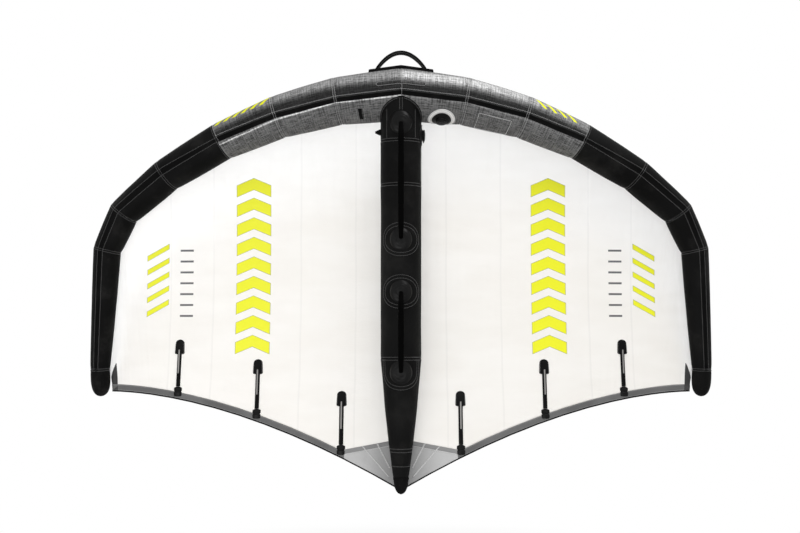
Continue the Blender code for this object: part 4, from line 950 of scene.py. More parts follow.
# %% Casing
STRIP_WIDTH = 0.019
STRIP_WIDTH_SHARES = (1, 1, 1, 1.25, 1.9, 1.9, 1.6, 1.4, 1.4)
STRIP_ANGLES = (12, 14, 12.5, 8, 0, -7, -3, 0, 0)
STATIONS = tuple(range(len(STRIP_ANGLES)))
LAP_WIDTH, LAP_RISE = 0.013, 0.0007
SEAM_PINCH, PINCH_REACH = 0.0022, 0.012
PUCKER_DEPTH, PUCKER_REACH = 0.0011, 0.036
PANEL_BULGE = 0.0016
VALLEY_DEPTH, VALLEY_WIDTH = 0.0040, 0.013
RIDGE_RISE, RIDGE_WIDTH, RIDGE_PLACE = 0.0016, 0.006, 0.017
RUMPLE_HEIGHT, BLACK_FOLD_SHARE = 0.0008, 0.55
CASING_COLUMNS, CASING_ROW = 104, 0.0065


def strip_angle(station):
    return math.radians(ramp(station, STATIONS, STRIP_ANGLES))


def strip_width(station):
    return STRIP_WIDTH * ramp(station, STATIONS, STRIP_WIDTH_SHARES)


def casing_height(edge, station, angle):
    """Height of the sewn and inflated cloth over the plain cone of its length."""
    length, share = edge.split(station)
    long = edge.lengths[length]
    before, after = share * long, (1 - share) * long
    radius = edge.radius(station)
    nearest = min(before, after)
    seam = length if before < after else length + 1
    turn = Vector((math.cos(angle), math.sin(angle), 0))
    height = PANEL_BULGE * 4 * share * (1 - share)
    height -= SEAM_PINCH * bump(nearest, PINCH_REACH)
    pucker = noise.noise(turn * 9 + Vector((0, 0, seam * 3.7)))
    height += PUCKER_DEPTH * pucker * math.exp(-nearest / PUCKER_REACH)
    if length > 0:
        height += LAP_RISE * (1 - smooth((before - LAP_WIDTH) / 0.002))
    valley = (angle - strip_angle(station)) * radius
    fold = VALLEY_DEPTH * bump(valley, VALLEY_WIDTH) - RIDGE_RISE * bump(valley - RIDGE_PLACE, RIDGE_WIDTH)
    height -= fold * (1 if length < GREY_LENGTHS else BLACK_FOLD_SHARE)
    lie = noise.noise(turn * radius * 28 + Vector((0, 0, edge.travel(station) * 11)))
    return height + RUMPLE_HEIGHT * lie


def on_casing(edge, station, angle, height=0.0):
    return edge.on(station, angle, casing_height(edge, station, angle) + height)


def roll_panel(edge, first, last, height_at, columns, row):
    """A panel between two stations, rolled round the tube with its edges merged at the back."""
    rows = max(8, round((edge.travel(last) - edge.travel(first)) / row))

    def place(u, v):
        station = first + (last - first) * v
        height = height_at(edge, min(station, last - JUST_INSIDE), turn_of(u))
        return edge.on(station, turn_of(u), height)

    def cut(u, v):
        station = first + (last - first) * v
        return (turn_of(u) * edge.radius(station), edge.travel(station))

    return grid_of(columns, rows, place, cut)


for way, edge in edges.items():
    side = SIDES[way]
    for station in range(len(edge.lengths) - 1):
        number = station + 1
        add_cloth(f"casing_{side}_{number}",
                  roll_panel(edge, station, number, casing_height, CASING_COLUMNS, CASING_ROW),
                  heather_cloth if station < GREY_LENGTHS else black_cloth,
                  2 * math.pi * max(edge.radii[station:station + 2]), edge.lengths[station],
                  ["leading_edge_bladder_film"],
                  replaces=[f"leading_edge_panel_{side}_{number}"], thickness=CASING_WALL)
    print("casing", side, "panels", len(edge.lengths) - 1)

# %% [markdown]
# ## Tip caps
#
# The tube ends in a rounded cap sewn from one piece and gathered at its end. A sphere would be too full,
# so the radius follows a blunter curve, and the pole closes it.

# %% Tip caps
CAP_CURVE, CAP_ROWS, CAP_CROWDING = 4.2, 40, 1.8
GATHER_DEPTH = 0.0012


def cap_radius(share):
    return max(0.0, 1 - share ** CAP_CURVE) ** 0.5


def crowded(v):
    """Share of the cap's length, with the rows closer together towards the pole."""
    return 1 - (1 - v) ** CAP_CROWDING


def tip_point(edge, share, angle, height=0.0):
    last = len(edge.lengths) - 1
    seam = edge.seam_point(last, angle, 0, last)
    slim = cap_radius(share)
    middle_line = edge.centres[last] + edge.ways[last] * (edge.lengths[last] * share)
    spoke = seam - edge.centres[last]
    square = edge.outward(last, angle) * edge.radii[last]
    around = Vector((math.cos(angle), math.sin(angle), 0))
    gather = GATHER_DEPTH * noise.noise(around * 7 + Vector((0, 0, share * 2))) * smooth(share * 3)
    pinch = -SEAM_PINCH * bump(share * edge.lengths[last], PINCH_REACH)
    skin = middle_line + spoke.lerp(square, smooth(share * 2)) * slim
    return skin + edge.outward(last, angle) * (gather + pinch + height)


for way, edge in edges.items():
    builder = grid_of(
        CASING_COLUMNS, CAP_ROWS,
        lambda u, v: tip_point(edge, crowded(v), turn_of(u)),
        lambda u, v: (turn_of(u) * TIP_TUBE_RADIUS, crowded(v) * TIP_CAP_LENGTH))
    add_cloth(f"tip_cap_cloth_{SIDES[way]}", builder, black_cloth,
              2 * math.pi * TIP_TUBE_RADIUS, TIP_CAP_LENGTH * 1.2, ["leading_edge_bladder_film"],
              replaces=[f"tip_cap_{SIDES[way]}"], thickness=CASING_WALL)
print("tip cap half way", round(cap_radius(0.5), 3), "of the tube")

# %% [markdown]
# ## Closing strip
#
# A black strip covers the long seam. It is a flat tape that follows the tube, narrow beside the centre
# seam and up to twice as wide towards the slim ends of the tube.

# %% Closing strip
STRIP_RISE = 0.0008
STRIP_COLUMNS = 10


def on_strip(edge, station, across, height=0.0):
    """Point on the strip; across runs from -1 at its upper edge to 1 at its lower edge."""
    angle = strip_angle(station) + across * strip_width(station) / edge.radius(station) / 2
    crown = STRIP_RISE * (1 - 0.6 * abs(across) ** 6)
    return edge.on(station, angle, casing_height(edge, station, angle) + crown + height)


for way, edge in edges.items():
    builder = bmesh.new()
    for station in range(len(edge.lengths) - 1):
        rows = round(edge.lengths[station] / CASING_ROW)
        top = station + 1 - JUST_INSIDE
        lay_grid(
            builder, STRIP_COLUMNS, rows,
            lambda u, v: on_strip(edge, min(station + v, top), 2 * u - 1),
            lambda u, v: ((u - 0.5) * strip_width(station + v), edge.travel(station + v)))
    add_cloth(f"closing_strip_{SIDES[way]}", builder, strip_cloth,
              strip_width(6), edge.travel(7), [f"casing_{SIDES[way]}_1"],
              replaces=[f"leading_edge_strip_{SIDES[way]}"], thickness=STRIP_RISE)
print("strip widths", [round(strip_width(station), 4) for station in STATIONS])

# %% [markdown]
# ## Canopy
#
# The sheet is a light laminate, stretched between the leading edge, the strut and the trailing edge. It
# is smooth in the wind, but on a studio floor it keeps fine creases, close to upright near the leading
# edge and slack in between. One dense grid holds all of that, and a thickness is added at the end. Light
# passes through bare film, so it glows a little, and the printed bars don't.

# %% Canopy finish
FILM_SEAM_REACHES = (0.205, 0.455, 0.86, 1.06)
FILM_DARK, FILM_PALE, FILM_THREAD = (0.91, 0.865, 0.79, 1), (0.96, 0.92, 0.855, 1), (0.97, 0.95, 0.92, 1)
SEAM_SHADE, SEAM_LAP, SEAM_LAP_REACH = (0.62, 0.60, 0.55, 1), 0.16, (0.0050, 0.0034)
SEAM_WANDER, CRINKLE_DEPTH = 0.02, 0.003
PRINT_GREY = grey(0.135)
GLOW_SHARE, GLOW_BY_EDGE, GLOW_DEPTH = 0.42, 0.85, 0.02
GLOW_FADE = (0.08, 0.50)
CANOPY_PRINTS = (
    (YELLOW, PRINT_LINE, dict(Centre=0.674, Half=0.080, Start=0.535, Length=0.80, Pitch=0.0895,
                              Bar=0.055, Chevron=0.42, Outline=0.0024)),
    (YELLOW, PRINT_LINE, dict(Centre=1.120, Half=0.052, Start=0.860, Length=0.32, Pitch=0.064,
                              Bar=0.026, Slant=0.55, Outline=0.0022)),
    (PRINT_GREY, PRINT_GREY, dict(Centre=0.985, Half=0.031, Start=0.860, Length=0.33, Pitch=0.050,
                                  Bar=0.0095, Outline=0.0)),
)
canopy_film, sheet, shader = new_finish("canopy_film", 0.40)
coords = sheet.add("ShaderNodeTexCoord").outputs
lie = place_group(sheet, "cloth_rumple", Vector=sheet.scaled(coords["Object"], (0.55, 1, 1.5)), Size=0.045)
colour = sheet.mix(sheet.ramp(lie["Broad"], 0.3, 0.7), FILM_DARK, FILM_PALE)
lines = place_group(sheet, "ripstop_lines", Vector=coords["UV"], Spacing=0.009, Width=0.0006)["Lines"]
colour = sheet.mix(sheet.math("MULTIPLY", lines, 0.10), colour, FILM_THREAD)
x, _, z = sheet.split(coords["Object"])
out, down = sheet.math("ABSOLUTE", x), sheet.math("MULTIPLY", z, -1.0)
wander = sheet.noise(sheet.scaled(coords["Object"], (0, 0, 1.5)), 1.0)
wander = sheet.math("ADD", out, sheet.math("MULTIPLY", wander, SEAM_WANDER))
for seam_reach in FILM_SEAM_REACHES:
    apart = distance(sheet, wander, seam_reach + SEAM_WANDER / 2)
    lap = sheet.math("MULTIPLY", sheet.ramp(apart, *SEAM_LAP_REACH), SEAM_LAP)
    colour = sheet.mix(lap, colour, SEAM_SHADE)
spot = sheet.add("ShaderNodeCombineXYZ", {0: out, 1: down}).outputs[0]
open_film = 1.0
for row in CANOPY_PRINTS:
    colour, printed = print_bars(sheet, colour, spot, *row)
    open_film = sheet.math("MULTIPLY", open_film, sheet.math("SUBTRACT", 1.0, printed))
sheet.feed(shader.inputs["Base Color"], colour)
glow = sheet.ramp(sheet.split(coords["UV"])[1], *GLOW_FADE, GLOW_BY_EDGE, GLOW_SHARE)
sheet.feed(shader.inputs["Subsurface Weight"], sheet.math("MULTIPLY", open_film, glow))
shader.inputs["Subsurface Radius"].default_value = (1, 1, 1)
shader.inputs["Subsurface Scale"].default_value = GLOW_DEPTH
crinkle = sheet.noise(sheet.scaled(coords["Object"], (7, 7, 60)), 1.0, 4.0, 0.6)
slack = sheet.ramp(down, 1.15, 0.45, 0.06, 0.42)
relief = sheet.math("MULTIPLY", crinkle, slack)
add_relief(sheet, shader, [
    (lie["Height"], 0.30, RUMPLE_DEPTH), (relief, 0.60, CRINKLE_DEPTH), (lines, 0.2, WEAVE_DEPTH)])
print("canopy prints", len(CANOPY_PRINTS))

# %% Canopy sheets
CANOPY_COLUMNS, CANOPY_LENGTHWAYS = 168, 200
CREASE_HEIGHT, SLACK_HEIGHT = 0.0016, 0.0035


def canopy_lie(way, rib, share):
    """How far the sheet stands off its plain surface, towards the rider."""
    held = smooth(share / 0.08) * smooth((1 - share) / 0.10)
    slack = noise.noise(Vector((rib * 0.55, share * 3.2, way * 4.0)))
    crease = noise.noise(Vector((rib * 5.5, share * 2.4, way * 9.0)))
    return held * (SLACK_HEIGHT * slack + CREASE_HEIGHT * crease * (0.35 + 0.65 * (1 - share) ** 2))


def on_canopy(canopy, rib, share, height=0.0):
    raised = CANOPY_THICKNESS / 2 + height + canopy_lie(canopy.way, rib, share)
    return canopy.rib_point(rib, share) + canopy.face(rib, share) * raised


for way, canopy in canopies.items():

    def place(u, v):
        rib = u * LAST_RIB
        return on_canopy(canopy, rib, v * canopy.band_share(rib))

    def cut(u, v):
        rib = u * LAST_RIB
        return (canopy.between(canopy.feet, rib).x, v * canopy.chord(rib))

    builder = grid_of(CANOPY_COLUMNS, CANOPY_LENGTHWAYS, place, cut)
    add_cloth(f"canopy_sheet_{SIDES[way]}", builder, canopy_film,
              TIP_REACH, canopy.chord(0), ["leading_edge_panel_left_1", "strut_middle_panel"],
              replaces=[f"canopy_{SIDES[way]}"], thickness=CANOPY_THICKNESS, smooth_angle=80)
print("centre chord", round(canopies[1].chord(0), 3))

# %% [markdown]
# ## Trailing bands
#
# The trailing edge is bound with a grey band and a black cord in its hem.

# %% Trailing bands
PIPING_RADIUS, PIPING_STEP = 0.0034, 0.002
TRAILING_LENGTH, HEM_FACE_SHARE = 1.5, 0.98


def along_trailing(canopy, share, width_share, height=0.0):
    """Point on the trailing band; width_share runs from its sewn edge at 0 to the hem at 1."""
    rib = share * LAST_RIB
    start = canopy.band_share(rib)
    point = canopy.rib_point(rib, start + (1 - start) * width_share)
    return point + canopy.face(rib, HEM_FACE_SHARE) * (CANOPY_THICKNESS / 2 + height)


for way, canopy in canopies.items():
    builder = grid_of(240, 6, lambda u, v: along_trailing(canopy, u, v, 0.0006),
                      cut_flat(TRAILING_LENGTH, TRAILING_BAND_WIDTH))
    add_cloth(f"trailing_hem_{SIDES[way]}", builder, band_cloth,
              TRAILING_LENGTH, TRAILING_BAND_WIDTH, [f"canopy_sheet_{SIDES[way]}"],
              replaces=[f"trailing_band_{SIDES[way]}"], thickness=CANOPY_THICKNESS)

    def piping(u, v):
        turn = 2 * math.pi * v
        near = along_trailing(canopy, max(0, u - PIPING_STEP), 1)
        far = along_trailing(canopy, min(1, u + PIPING_STEP), 1)
        line = (far - near).normalized()
        out = canopy.face(u * LAST_RIB, HEM_FACE_SHARE)
        side = line.cross(out)
        return along_trailing(canopy, u, 1) + (out * math.cos(turn) + side * math.sin(turn)) * PIPING_RADIUS

    builder = grid_of(160, 8, piping, cut_flat(TRAILING_LENGTH, 0.014))
    bmesh.ops.remove_doubles(builder, verts=builder.verts, dist=MERGE_DISTANCE)
    bmesh.ops.holes_fill(builder, edges=[edge for edge in builder.edges if edge.is_boundary])
    add_piece(f"trailing_piping_{SIDES[way]}", builder, strip_cloth)
print("trailing bands", len(canopies))

# %% [markdown]
# ## Strut casing
#
# The strut is four rolled panels. Its head is cut to the leading edge: each line along the skin starts
# where it comes out of the big tube, found by halving the distance again and again.

# %% Strut casing
STRUT_COLUMNS, SADDLE_HALVINGS = 88, 24
STRUT_PINCH, STRUT_PINCH_REACH = 0.0016, 0.010
STRUT_PUCKER_DEPTH, STRUT_PUCKER_REACH, STRUT_RUMPLE_HEIGHT = 0.0009, 0.035, 0.0011


def inside_edge(point):
    """True where a point lies inside the leading edge tube."""
    edge = edges[1 if point.x >= 0 else -1]
    step = point - edge.centres[0]
    along = step.dot(edge.ways[0])
    radius = edge.radii[0] + (edge.radii[1] - edge.radii[0]) * along / edge.lengths[0]
    return (step - edge.ways[0] * along).length < radius


def saddle_station(angle):
    """Where the strut's skin comes out of the leading edge at an angle round the strut."""
    low, high = 0.0, float(strut_seams[0]) - 0.05
    if not inside_edge(strut.on(low, angle)):
        return low
    for _ in range(SADDLE_HALVINGS):
        half = (low + high) / 2
        if inside_edge(strut.on(half, angle)):
            low = half
        else:
            high = half
    return high


def strut_height(tube, station, angle):
    """Height of the strut's cloth over its plain cone."""
    travel = tube.travel(station)
    height = 0.0
    for seam in strut_seams:
        apart = travel - tube.travel(seam)
        height -= STRUT_PINCH * bump(apart, STRUT_PINCH_REACH)
        around = Vector((math.cos(angle), math.sin(angle), seam * 2.1))
        height += STRUT_PUCKER_DEPTH * noise.noise(around * 6) * math.exp(-abs(apart) / STRUT_PUCKER_REACH)
        height += LAP_RISE * smooth((apart + 0.001) / 0.002) * (1 - smooth((apart - LAP_WIDTH) / 0.002))
    lie = noise.noise(Vector((math.cos(angle) * 1.6, math.sin(angle) * 1.6, travel * 7)))
    return height + STRUT_RUMPLE_HEIGHT * lie


def on_strut(station, angle, height=0.0):
    return strut.on(station, angle, strut_height(strut, station, angle) + height)


names = ("front", "upper", "middle", "tail")
for name, first, last in zip(names, [0] + strut_seams, strut_seams):
    long = strut.travel(last) - strut.travel(first)
    start = saddle_station if first == 0 else lambda angle, first=first: first

    def place(u, v):
        angle = turn_of(u)
        low = start(angle)
        return on_strut(min(low + (last - low) * v, last - JUST_INSIDE), angle)

    def cut(u, v):
        station = first + (last - first) * v
        return (turn_of(u) * STRUT_RADIUS, strut.travel(station))

    builder = grid_of(STRUT_COLUMNS, round(long / CASING_ROW), place, cut)
    add_cloth(f"strut_casing_{name}", builder, strut_cloth,
              2 * math.pi * strut.radius(first), long, ["strut_bladder_film"],
              replaces=[f"strut_{name}_panel"], thickness=CASING_WALL)
print("strut panels", *names)

# %% Strut tail cap
tail = strut_seams[-1]
TAIL_CAP_SHARES = (0, 0.10, 0.16, 0.55, 0.8, 0.93, 1)
TAIL_CAP_RADII = (1, 1.02, 0.96, 0.86, 0.62, 0.38, 0.0)


def tail_cap_point(u, v):
    angle = turn_of(u)
    slim = ramp(v, TAIL_CAP_SHARES, TAIL_CAP_RADII)
    middle_line = strut.centres[tail].lerp(strut.centres[tail + 1], v)
    spoke = strut.seam_point(tail, angle, 0, tail) - strut.centres[tail]
    square = strut.outward(tail, angle) * strut.radii[tail]
    return middle_line + spoke.lerp(square, smooth(v * 4)) * slim


builder = grid_of(16, 28, tail_cap_point, cut_flat(0.2, STRUT_CAP_LENGTH))
add_piece("strut_tail_cap_moulded", builder, webbing, slot="black_cloth", replaces=["strut_tail_cap"])
print("tail cap starts at station", tail)

# %% [markdown]
# ## Sewing
#
# A seam is sewn in a zigzag. Each stitch is a short low bar of thread, and one operator call makes it.
# A row only needs a rule for where it runs: sew() asks that rule for a place at a share of the row and at
# a small distance to either side of it. Every row is built by itself and then added to its piece, which
# keeps the work short.

# %% Sewing
THREAD_RADIUS = 0.0008
STITCH_PITCH = 0.0040
ZIGZAG = 0.0019
THREAD_SEAT = 0.0006
rows_sewn = 0


def thread(name, level):
    finish, sheet, shader = new_finish(name, 0.55)
    place = sheet.add("ShaderNodeTexCoord").outputs["Object"]
    twist = sheet.ramp(sheet.noise(place, 700.0, 2.0), 0.3, 0.7)
    sheet.feed(shader.inputs["Base Color"], sheet.mix(twist, grey(level * 0.75), grey(level)))
    shader.inputs["Specular IOR Level"].default_value = 0.2
    return finish


light_thread = thread("light_thread", 0.40)
dim_thread = thread("dim_thread", 0.115)
white_thread = thread("white_thread", 0.85)


def sew(target, place, length, pitch=STITCH_PITCH, swing=ZIGZAG, radius=THREAD_RADIUS):
    """Add one row of stitches to a bmesh; place(share, aside) gives points along the row."""
    global rows_sewn
    row = bmesh.new()
    count = max(3, round(length / pitch))
    holes = [place(index / count, swing * (-1) ** index) for index in range(count + 1)]
    for near, far in zip(holes, holes[1:]):
        way = far - near
        turn = way.to_track_quat("X", "Z").to_matrix().to_4x4()
        size = Matrix.Diagonal((way.length / 2 + radius, radius, radius, 1))
        lie = Matrix.Translation((near + far) / 2) @ turn @ size
        bmesh.ops.create_icosphere(row, subdivisions=1, radius=1, matrix=lie)
    scrap = bpy.data.meshes.new("row")
    row.to_mesh(scrap)
    row.free()
    target.from_mesh(scrap)
    bpy.data.meshes.remove(scrap)
    rows_sewn += 1


def finish_sewing(name, builder, finish, body=ROOT):
    return add_piece(name, builder, finish, body=body, smooth_angle=180)


print("threads", light_thread.name, dim_thread.name, white_thread.name)

# %% [markdown]
# ## Seams of the leading edge
#
# Each cross seam is sewn twice. On the black lengths a row runs along both edges of the closing strip. On
# the grey lengths one light row lies on the heather cloth just above it. The centre seam has a single row.

# %% Leading edge stitches
CROSS_ROWS = (-0.0045, 0.0045)
STRIP_INSET = 0.0026
HEATHER_ROW_GAP = 0.008

for way, edge in edges.items():
    light, dim = bmesh.new(), bmesh.new()
    for seam in range(1, len(edge.lengths)):
        for offset in CROSS_ROWS:
            length = seam - 1 if offset < 0 else seam

            def place(share, aside):
                angle = 2 * math.pi * share
                station = seam + (offset + aside) / edge.lengths[length]
                return on_casing(edge, station, angle, THREAD_RADIUS / 2)

            target = light if length < GREY_LENGTHS else dim
            sew(target, place, 2 * math.pi * edge.radii[seam])
    for length in range(len(edge.lengths) - 1):
        for side in (-1, 1):

            def place(share, aside):
                station = length + min(share, 1 - JUST_INSIDE)
                half = strip_width(station) / 2
                if length < GREY_LENGTHS:
                    turn = strip_angle(station) - (half + HEATHER_ROW_GAP + aside) / edge.radius(station)
                    return on_casing(edge, station, turn, THREAD_RADIUS / 2)
                across = (side * (half - STRIP_INSET) + aside) / half
                return on_strip(edge, station, across, THREAD_RADIUS / 2)

            if side < 0 or length >= GREY_LENGTHS:
                sew(light if length < GREY_LENGTHS else dim, place, edge.lengths[length])
    finish_sewing(f"edge_stitches_{SIDES[way]}", light, light_thread)
    finish_sewing(f"edge_dark_stitches_{SIDES[way]}", dim, dim_thread)

centre_row = bmesh.new()
sew(centre_row, lambda share, aside: on_casing(
    edges[1], max(0, 0.012 + aside / edges[1].lengths[0]), 2 * math.pi * share, THREAD_RADIUS / 2),
    2 * math.pi * CENTRE_TUBE_RADIUS)
finish_sewing("centre_stitches", centre_row, light_thread)
print("rows sewn", rows_sewn)

# %% [markdown]
# ## Seams of the strut
#
# The strut's cross seams are sewn twice. At its head four rows run down from the saddle to the first
# seam, two of them close to the middle. A long row on each flank closes the panels. A round black patch
# covers the head where it meets the leading edge, with two arcs of stitches inside its outline.

# %% Strut stitches
STRUT_ROWS = (-0.0058, 0.0058)
STRUT_EXTRA_SEAM_DROPS = (1.553, 1.567, 1.628)
SADDLE_INSET = 0.008
HEAD_LINES = tuple(math.radians(angle) for angle in (-43, -3.5, 3.5, 43))
FLANK_LINES = tuple(math.radians(angle) for angle in (-80, 80))
SEAM_CLEARANCE = 0.010
HEAD_SHARES = (0, 0.10, 0.20, 0.275, 0.325, 0.347, 0.350)
HEAD_ANGLES = (20, 21, 28, 38, 52, 72, 104)
HEAD_PATCH_RISE = 0.0012
HEAD_ROWS = ((0.9, 0.055, 0.30), (0.62, 0.20, 0.16))


def around_strut(travel):
    def place(share, aside):
        angle = math.pi * (2 * share - 1)
        return on_strut(strut.station(travel + aside), angle, THREAD_RADIUS / 2)
    return place


def down_strut(angle, first, last):
    """A row down the strut between two distances along it."""
    def place(share, aside):
        station = strut.station(first + (last - first) * share)
        return on_strut(station, angle + aside / strut.radius(station), THREAD_RADIUS / 2)
    return place


builder = bmesh.new()
for seam in strut_seams[:-1]:
    for offset in STRUT_ROWS:
        sew(builder, around_strut(strut.travel(seam) + offset), 2 * math.pi * strut.radii[seam])
for drop in STRUT_EXTRA_SEAM_DROPS:
    station = strut.at_drop(drop)
    sew(builder, around_strut(strut.travel(station)), 2 * math.pi * strut.radius(station))
tail_row = strut.travel(strut.at_drop(STRUT_EXTRA_SEAM_DROPS[0]))

head_end = strut.travel(strut_seams[0]) - SEAM_CLEARANCE
for angle in HEAD_LINES:
    start = strut.travel(saddle_station(angle)) + SADDLE_INSET
    sew(builder, down_strut(angle, start, head_end), head_end - start)
start, finish_travel = strut.travel(strut_seams[0]) + SEAM_CLEARANCE, tail_row - SEAM_CLEARANCE
for angle in FLANK_LINES:
    sew(builder, down_strut(angle, start, finish_travel), finish_travel - start, swing=0.0008)


def softened(value, table):
    """Value read from a table at even marks, with its corners rounded."""
    marks = [index / (len(table) - 1) for index in range(len(table))]
    return sum(ramp(max(0.0, min(1.0, value + step)), marks, table) for step in (-0.05, 0.0, 0.05)) / 3


def head_outline(turn):
    """Share of the first length and angle of the round outline; turn runs from -1 to 1."""
    return softened(abs(turn), HEAD_SHARES), math.radians(softened(abs(turn), HEAD_ANGLES))


def on_head(turn, inwards, height):
    edge = edges[1 if turn >= 0 else -1]
    share, angle = head_outline(turn)
    share *= 1 - 0.75 * inwards
    angle += (math.radians(100) - angle) * 0.75 * inwards
    return on_casing(edge, share, angle, height)


head = grid_of(96, 24, lambda u, v: on_head(2 * u - 1, v, HEAD_PATCH_RISE), cut_flat(0.34, 0.06))
add_cloth("strut_head_patch", head, strut_cloth, 0.07, 0.30, ["casing_left_1", "casing_right_1"],
          thickness=0.0008)
for reach, inwards, length in HEAD_ROWS:
    sew(builder, lambda share, aside: on_head(
        reach * (2 * share - 1), inwards + aside / 0.1, HEAD_PATCH_RISE + THREAD_SEAT), length)
finish_sewing("strut_stitches", builder, dim_thread)
print("rows sewn", rows_sewn)

# %% [markdown]
# ## Handle anchors
#
# Each handle stands on two moulded domes, and each dome is sewn down under a round black patch. The patch
# is a disc of cloth wrapped on the strut: a grid whose one direction is the turn and whose other is the
# distance from the middle. The dome is turned from a profile with two shallow grooves, and its foot
# follows the strut. Two rings of stitches run round the patch. The lowest one ends in a seam, so its
# rings are open at the top.

# %% Handle anchors
ANCHOR_DROPS = (0.140, 0.652, 0.882, 1.226)
ANCHOR_PATCH_ARC, ANCHOR_PATCH_RADIUS, ANCHOR_PATCH_THICKNESS = 0.092, 0.0765, 0.0018
ANCHOR_PATCH_SHARES = (0.72, 1, 1, 1)
ANCHOR_DOME_RADIUS, ANCHOR_HEIGHT, LOBE_HEIGHT = 0.050, 0.012, 0.0006
RING_SWING = 0.0014
RING_SIZES = ((0.0735, 0.0885), (0.0592, 0.0760))
DOME_SHARES = (0, 0.30, 0.36, 0.42, 0.58, 0.64, 0.70, 0.88, 0.96, 1)
DOME_HEIGHTS = (1, 1.0, 0.90, 0.95, 0.86, 0.70, 0.72, 0.45, 0.22, 0.05)

moulded = moulding("moulded_rubber", 0.38, skin=(900.0, 2.0), relief=(0.25, 0.0002), wear=(26.0, 4.0, 0.6),
                   wear_limits=(0.45, 0.75), levels=(0.0035, 0.007), roughness=(0.30, 0.48), specular=0.12)


def wrapped(tube, station, angle, along, around, height):
    """Point on a tube a little way from a spot, along it and round it."""
    place = tube.station(tube.travel(station) + along)
    turn = angle + around / tube.radius(place)
    return tube.on(place, turn, strut_height(tube, place, turn) + height)


def disc_on_strut(station, angle, inner, outer, height_at):
    """A ring of cloth on the strut; inner and outer are its half length and half arc."""
    def place(u, v):
        turn = 2 * math.pi * u
        along = (inner[0] + (outer[0] - inner[0]) * v) * math.cos(turn)
        around = (inner[1] + (outer[1] - inner[1]) * v) * math.sin(turn)
        return wrapped(strut, station, angle, along, around, height_at(v))
    return place


def patch_height(v):
    return 0.0004 + ANCHOR_PATCH_THICKNESS * (1 - smooth((v - 0.93) / 0.07))


anchor_stitches = bmesh.new()
row_height = ANCHOR_PATCH_THICKNESS + THREAD_SEAT
for number, (drop, share) in enumerate(zip(ANCHOR_DROPS, ANCHOR_PATCH_SHARES), 1):
    station = strut.at_drop(drop)
    outer = (ANCHOR_PATCH_RADIUS * share, ANCHOR_PATCH_ARC * share)
    inner = (ANCHOR_DOME_RADIUS * 0.9, ANCHOR_DOME_RADIUS * 0.9)
    builder = grid_of(96, 14, disc_on_strut(station, 0, inner, outer, patch_height), cut_flat(0.5, 0.04))
    add_cloth(f"anchor_patch_{number}", builder, strut_cloth, 2 * outer[0], 2 * outer[1],
              ["strut_casing_front"], replaces=[f"handle_anchor_{number}"])

    centre = strut.on(station, 0)
    out, way = strut.out(station, 0), strut.ways[int(station)]
    aside = strut.outward(int(station), math.pi / 2)

    def dome(u, v):
        turn = 2 * math.pi * u
        radius = ANCHOR_DOME_RADIUS * v
        level = ramp(v, DOME_SHARES, DOME_HEIGHTS)
        flat = centre + (way * math.cos(turn) + aside * math.sin(turn)) * radius + out * ANCHOR_HEIGHT
        low = wrapped(
            strut, station, 0, radius * math.cos(turn), radius * math.sin(turn), ANCHOR_PATCH_THICKNESS)
        lobes = LOBE_HEIGHT * math.sin(3 * turn + 9 * v) * smooth(v * 2) * (1 - smooth((v - 0.8) / 0.2))
        return low.lerp(flat, level) + out * lobes

    add_piece(f"anchor_dome_{number}", grid_of(72, 40, dome, cut_flat(1, 1)), moulded,
              replaces=[f"handle_anchor_{number}"], smooth_angle=70)
    if number == 1:
        continue
    for (half_length, half_arc), seam_row in zip(RING_SIZES, STRUT_ROWS):
        first, last = (math.radians(-90), math.radians(90)) if number == 4 else (0, 2 * math.pi)

        def ring(share, swing):
            turn = first + (last - first) * share
            along = (half_length + swing) * math.cos(turn)
            around = (half_arc + swing) * math.sin(turn)
            return wrapped(strut, station, 0, along, around, row_height)

        sew(anchor_stitches, ring, (last - first) * (half_length + half_arc) / 2, swing=RING_SWING)
        if number == 4:
            top = strut.travel(station) - strut.travel(strut_seams[2]) - 0.008
            crossing = strut.travel(strut_seams[2]) + seam_row

            def across_patch(share, swing):
                along = crossing - strut.travel(station) + swing
                around = ANCHOR_PATCH_ARC * (2 * share - 1)
                return wrapped(strut, station, 0, along, around, row_height)

            sew(anchor_stitches, across_patch, 2 * ANCHOR_PATCH_ARC, swing=RING_SWING)
            for side in (-1, 1):

                def leg(share, swing):
                    return wrapped(strut, station, 0, -top * share, side * half_arc + swing, row_height)

                sew(anchor_stitches, leg, top, swing=RING_SWING)
finish_sewing("anchor_stitches", anchor_stitches, dim_thread)
print("anchors", len(ANCHOR_DROPS), "rows sewn", rows_sewn)

# %% [markdown]
# ## Strut handles
#
# The two handles are soft bars of foam rubber over webbing. They bend down to a narrow foot on each
# anchor. The bends are ribbed so that they give, and the hold in the middle is smooth. The bar is a
# rolled grid along its line, with a rounded section.

# %% Strut handles
GRIP_RISE, GRIP_WIDTH, GRIP_THICKNESS = 0.046, 0.027, 0.024
GRIP_BEND_LENGTH, GRIP_FOOT_RADIUS, GRIP_FOOT_THICKNESS = 0.060, 0.009, 0.006
RIB_DEPTH, RIB_PITCH = 0.0011, 0.0062
RIB_ZONE = 0.135
BAR_LEAD, BEND_SPREAD, BEND_FULLNESS, BAR_STEP, BAR_END = 1.04, 1.25, 0.85, 0.004, 0.006
HANDLE_BODIES = {"front_handle": (0, 1), "rear_handle": (2, 3)}

grip_rubber = moulding("grip_rubber", 0.7, skin=(1500.0, 3.0, 0.6), relief=(0.4, 0.0003), wear=(14.0, 3.0),
                       wear_limits=(0.4, 0.7), levels=(0.0006, 0.0014), roughness=(0.62, 0.78), specular=0.02)


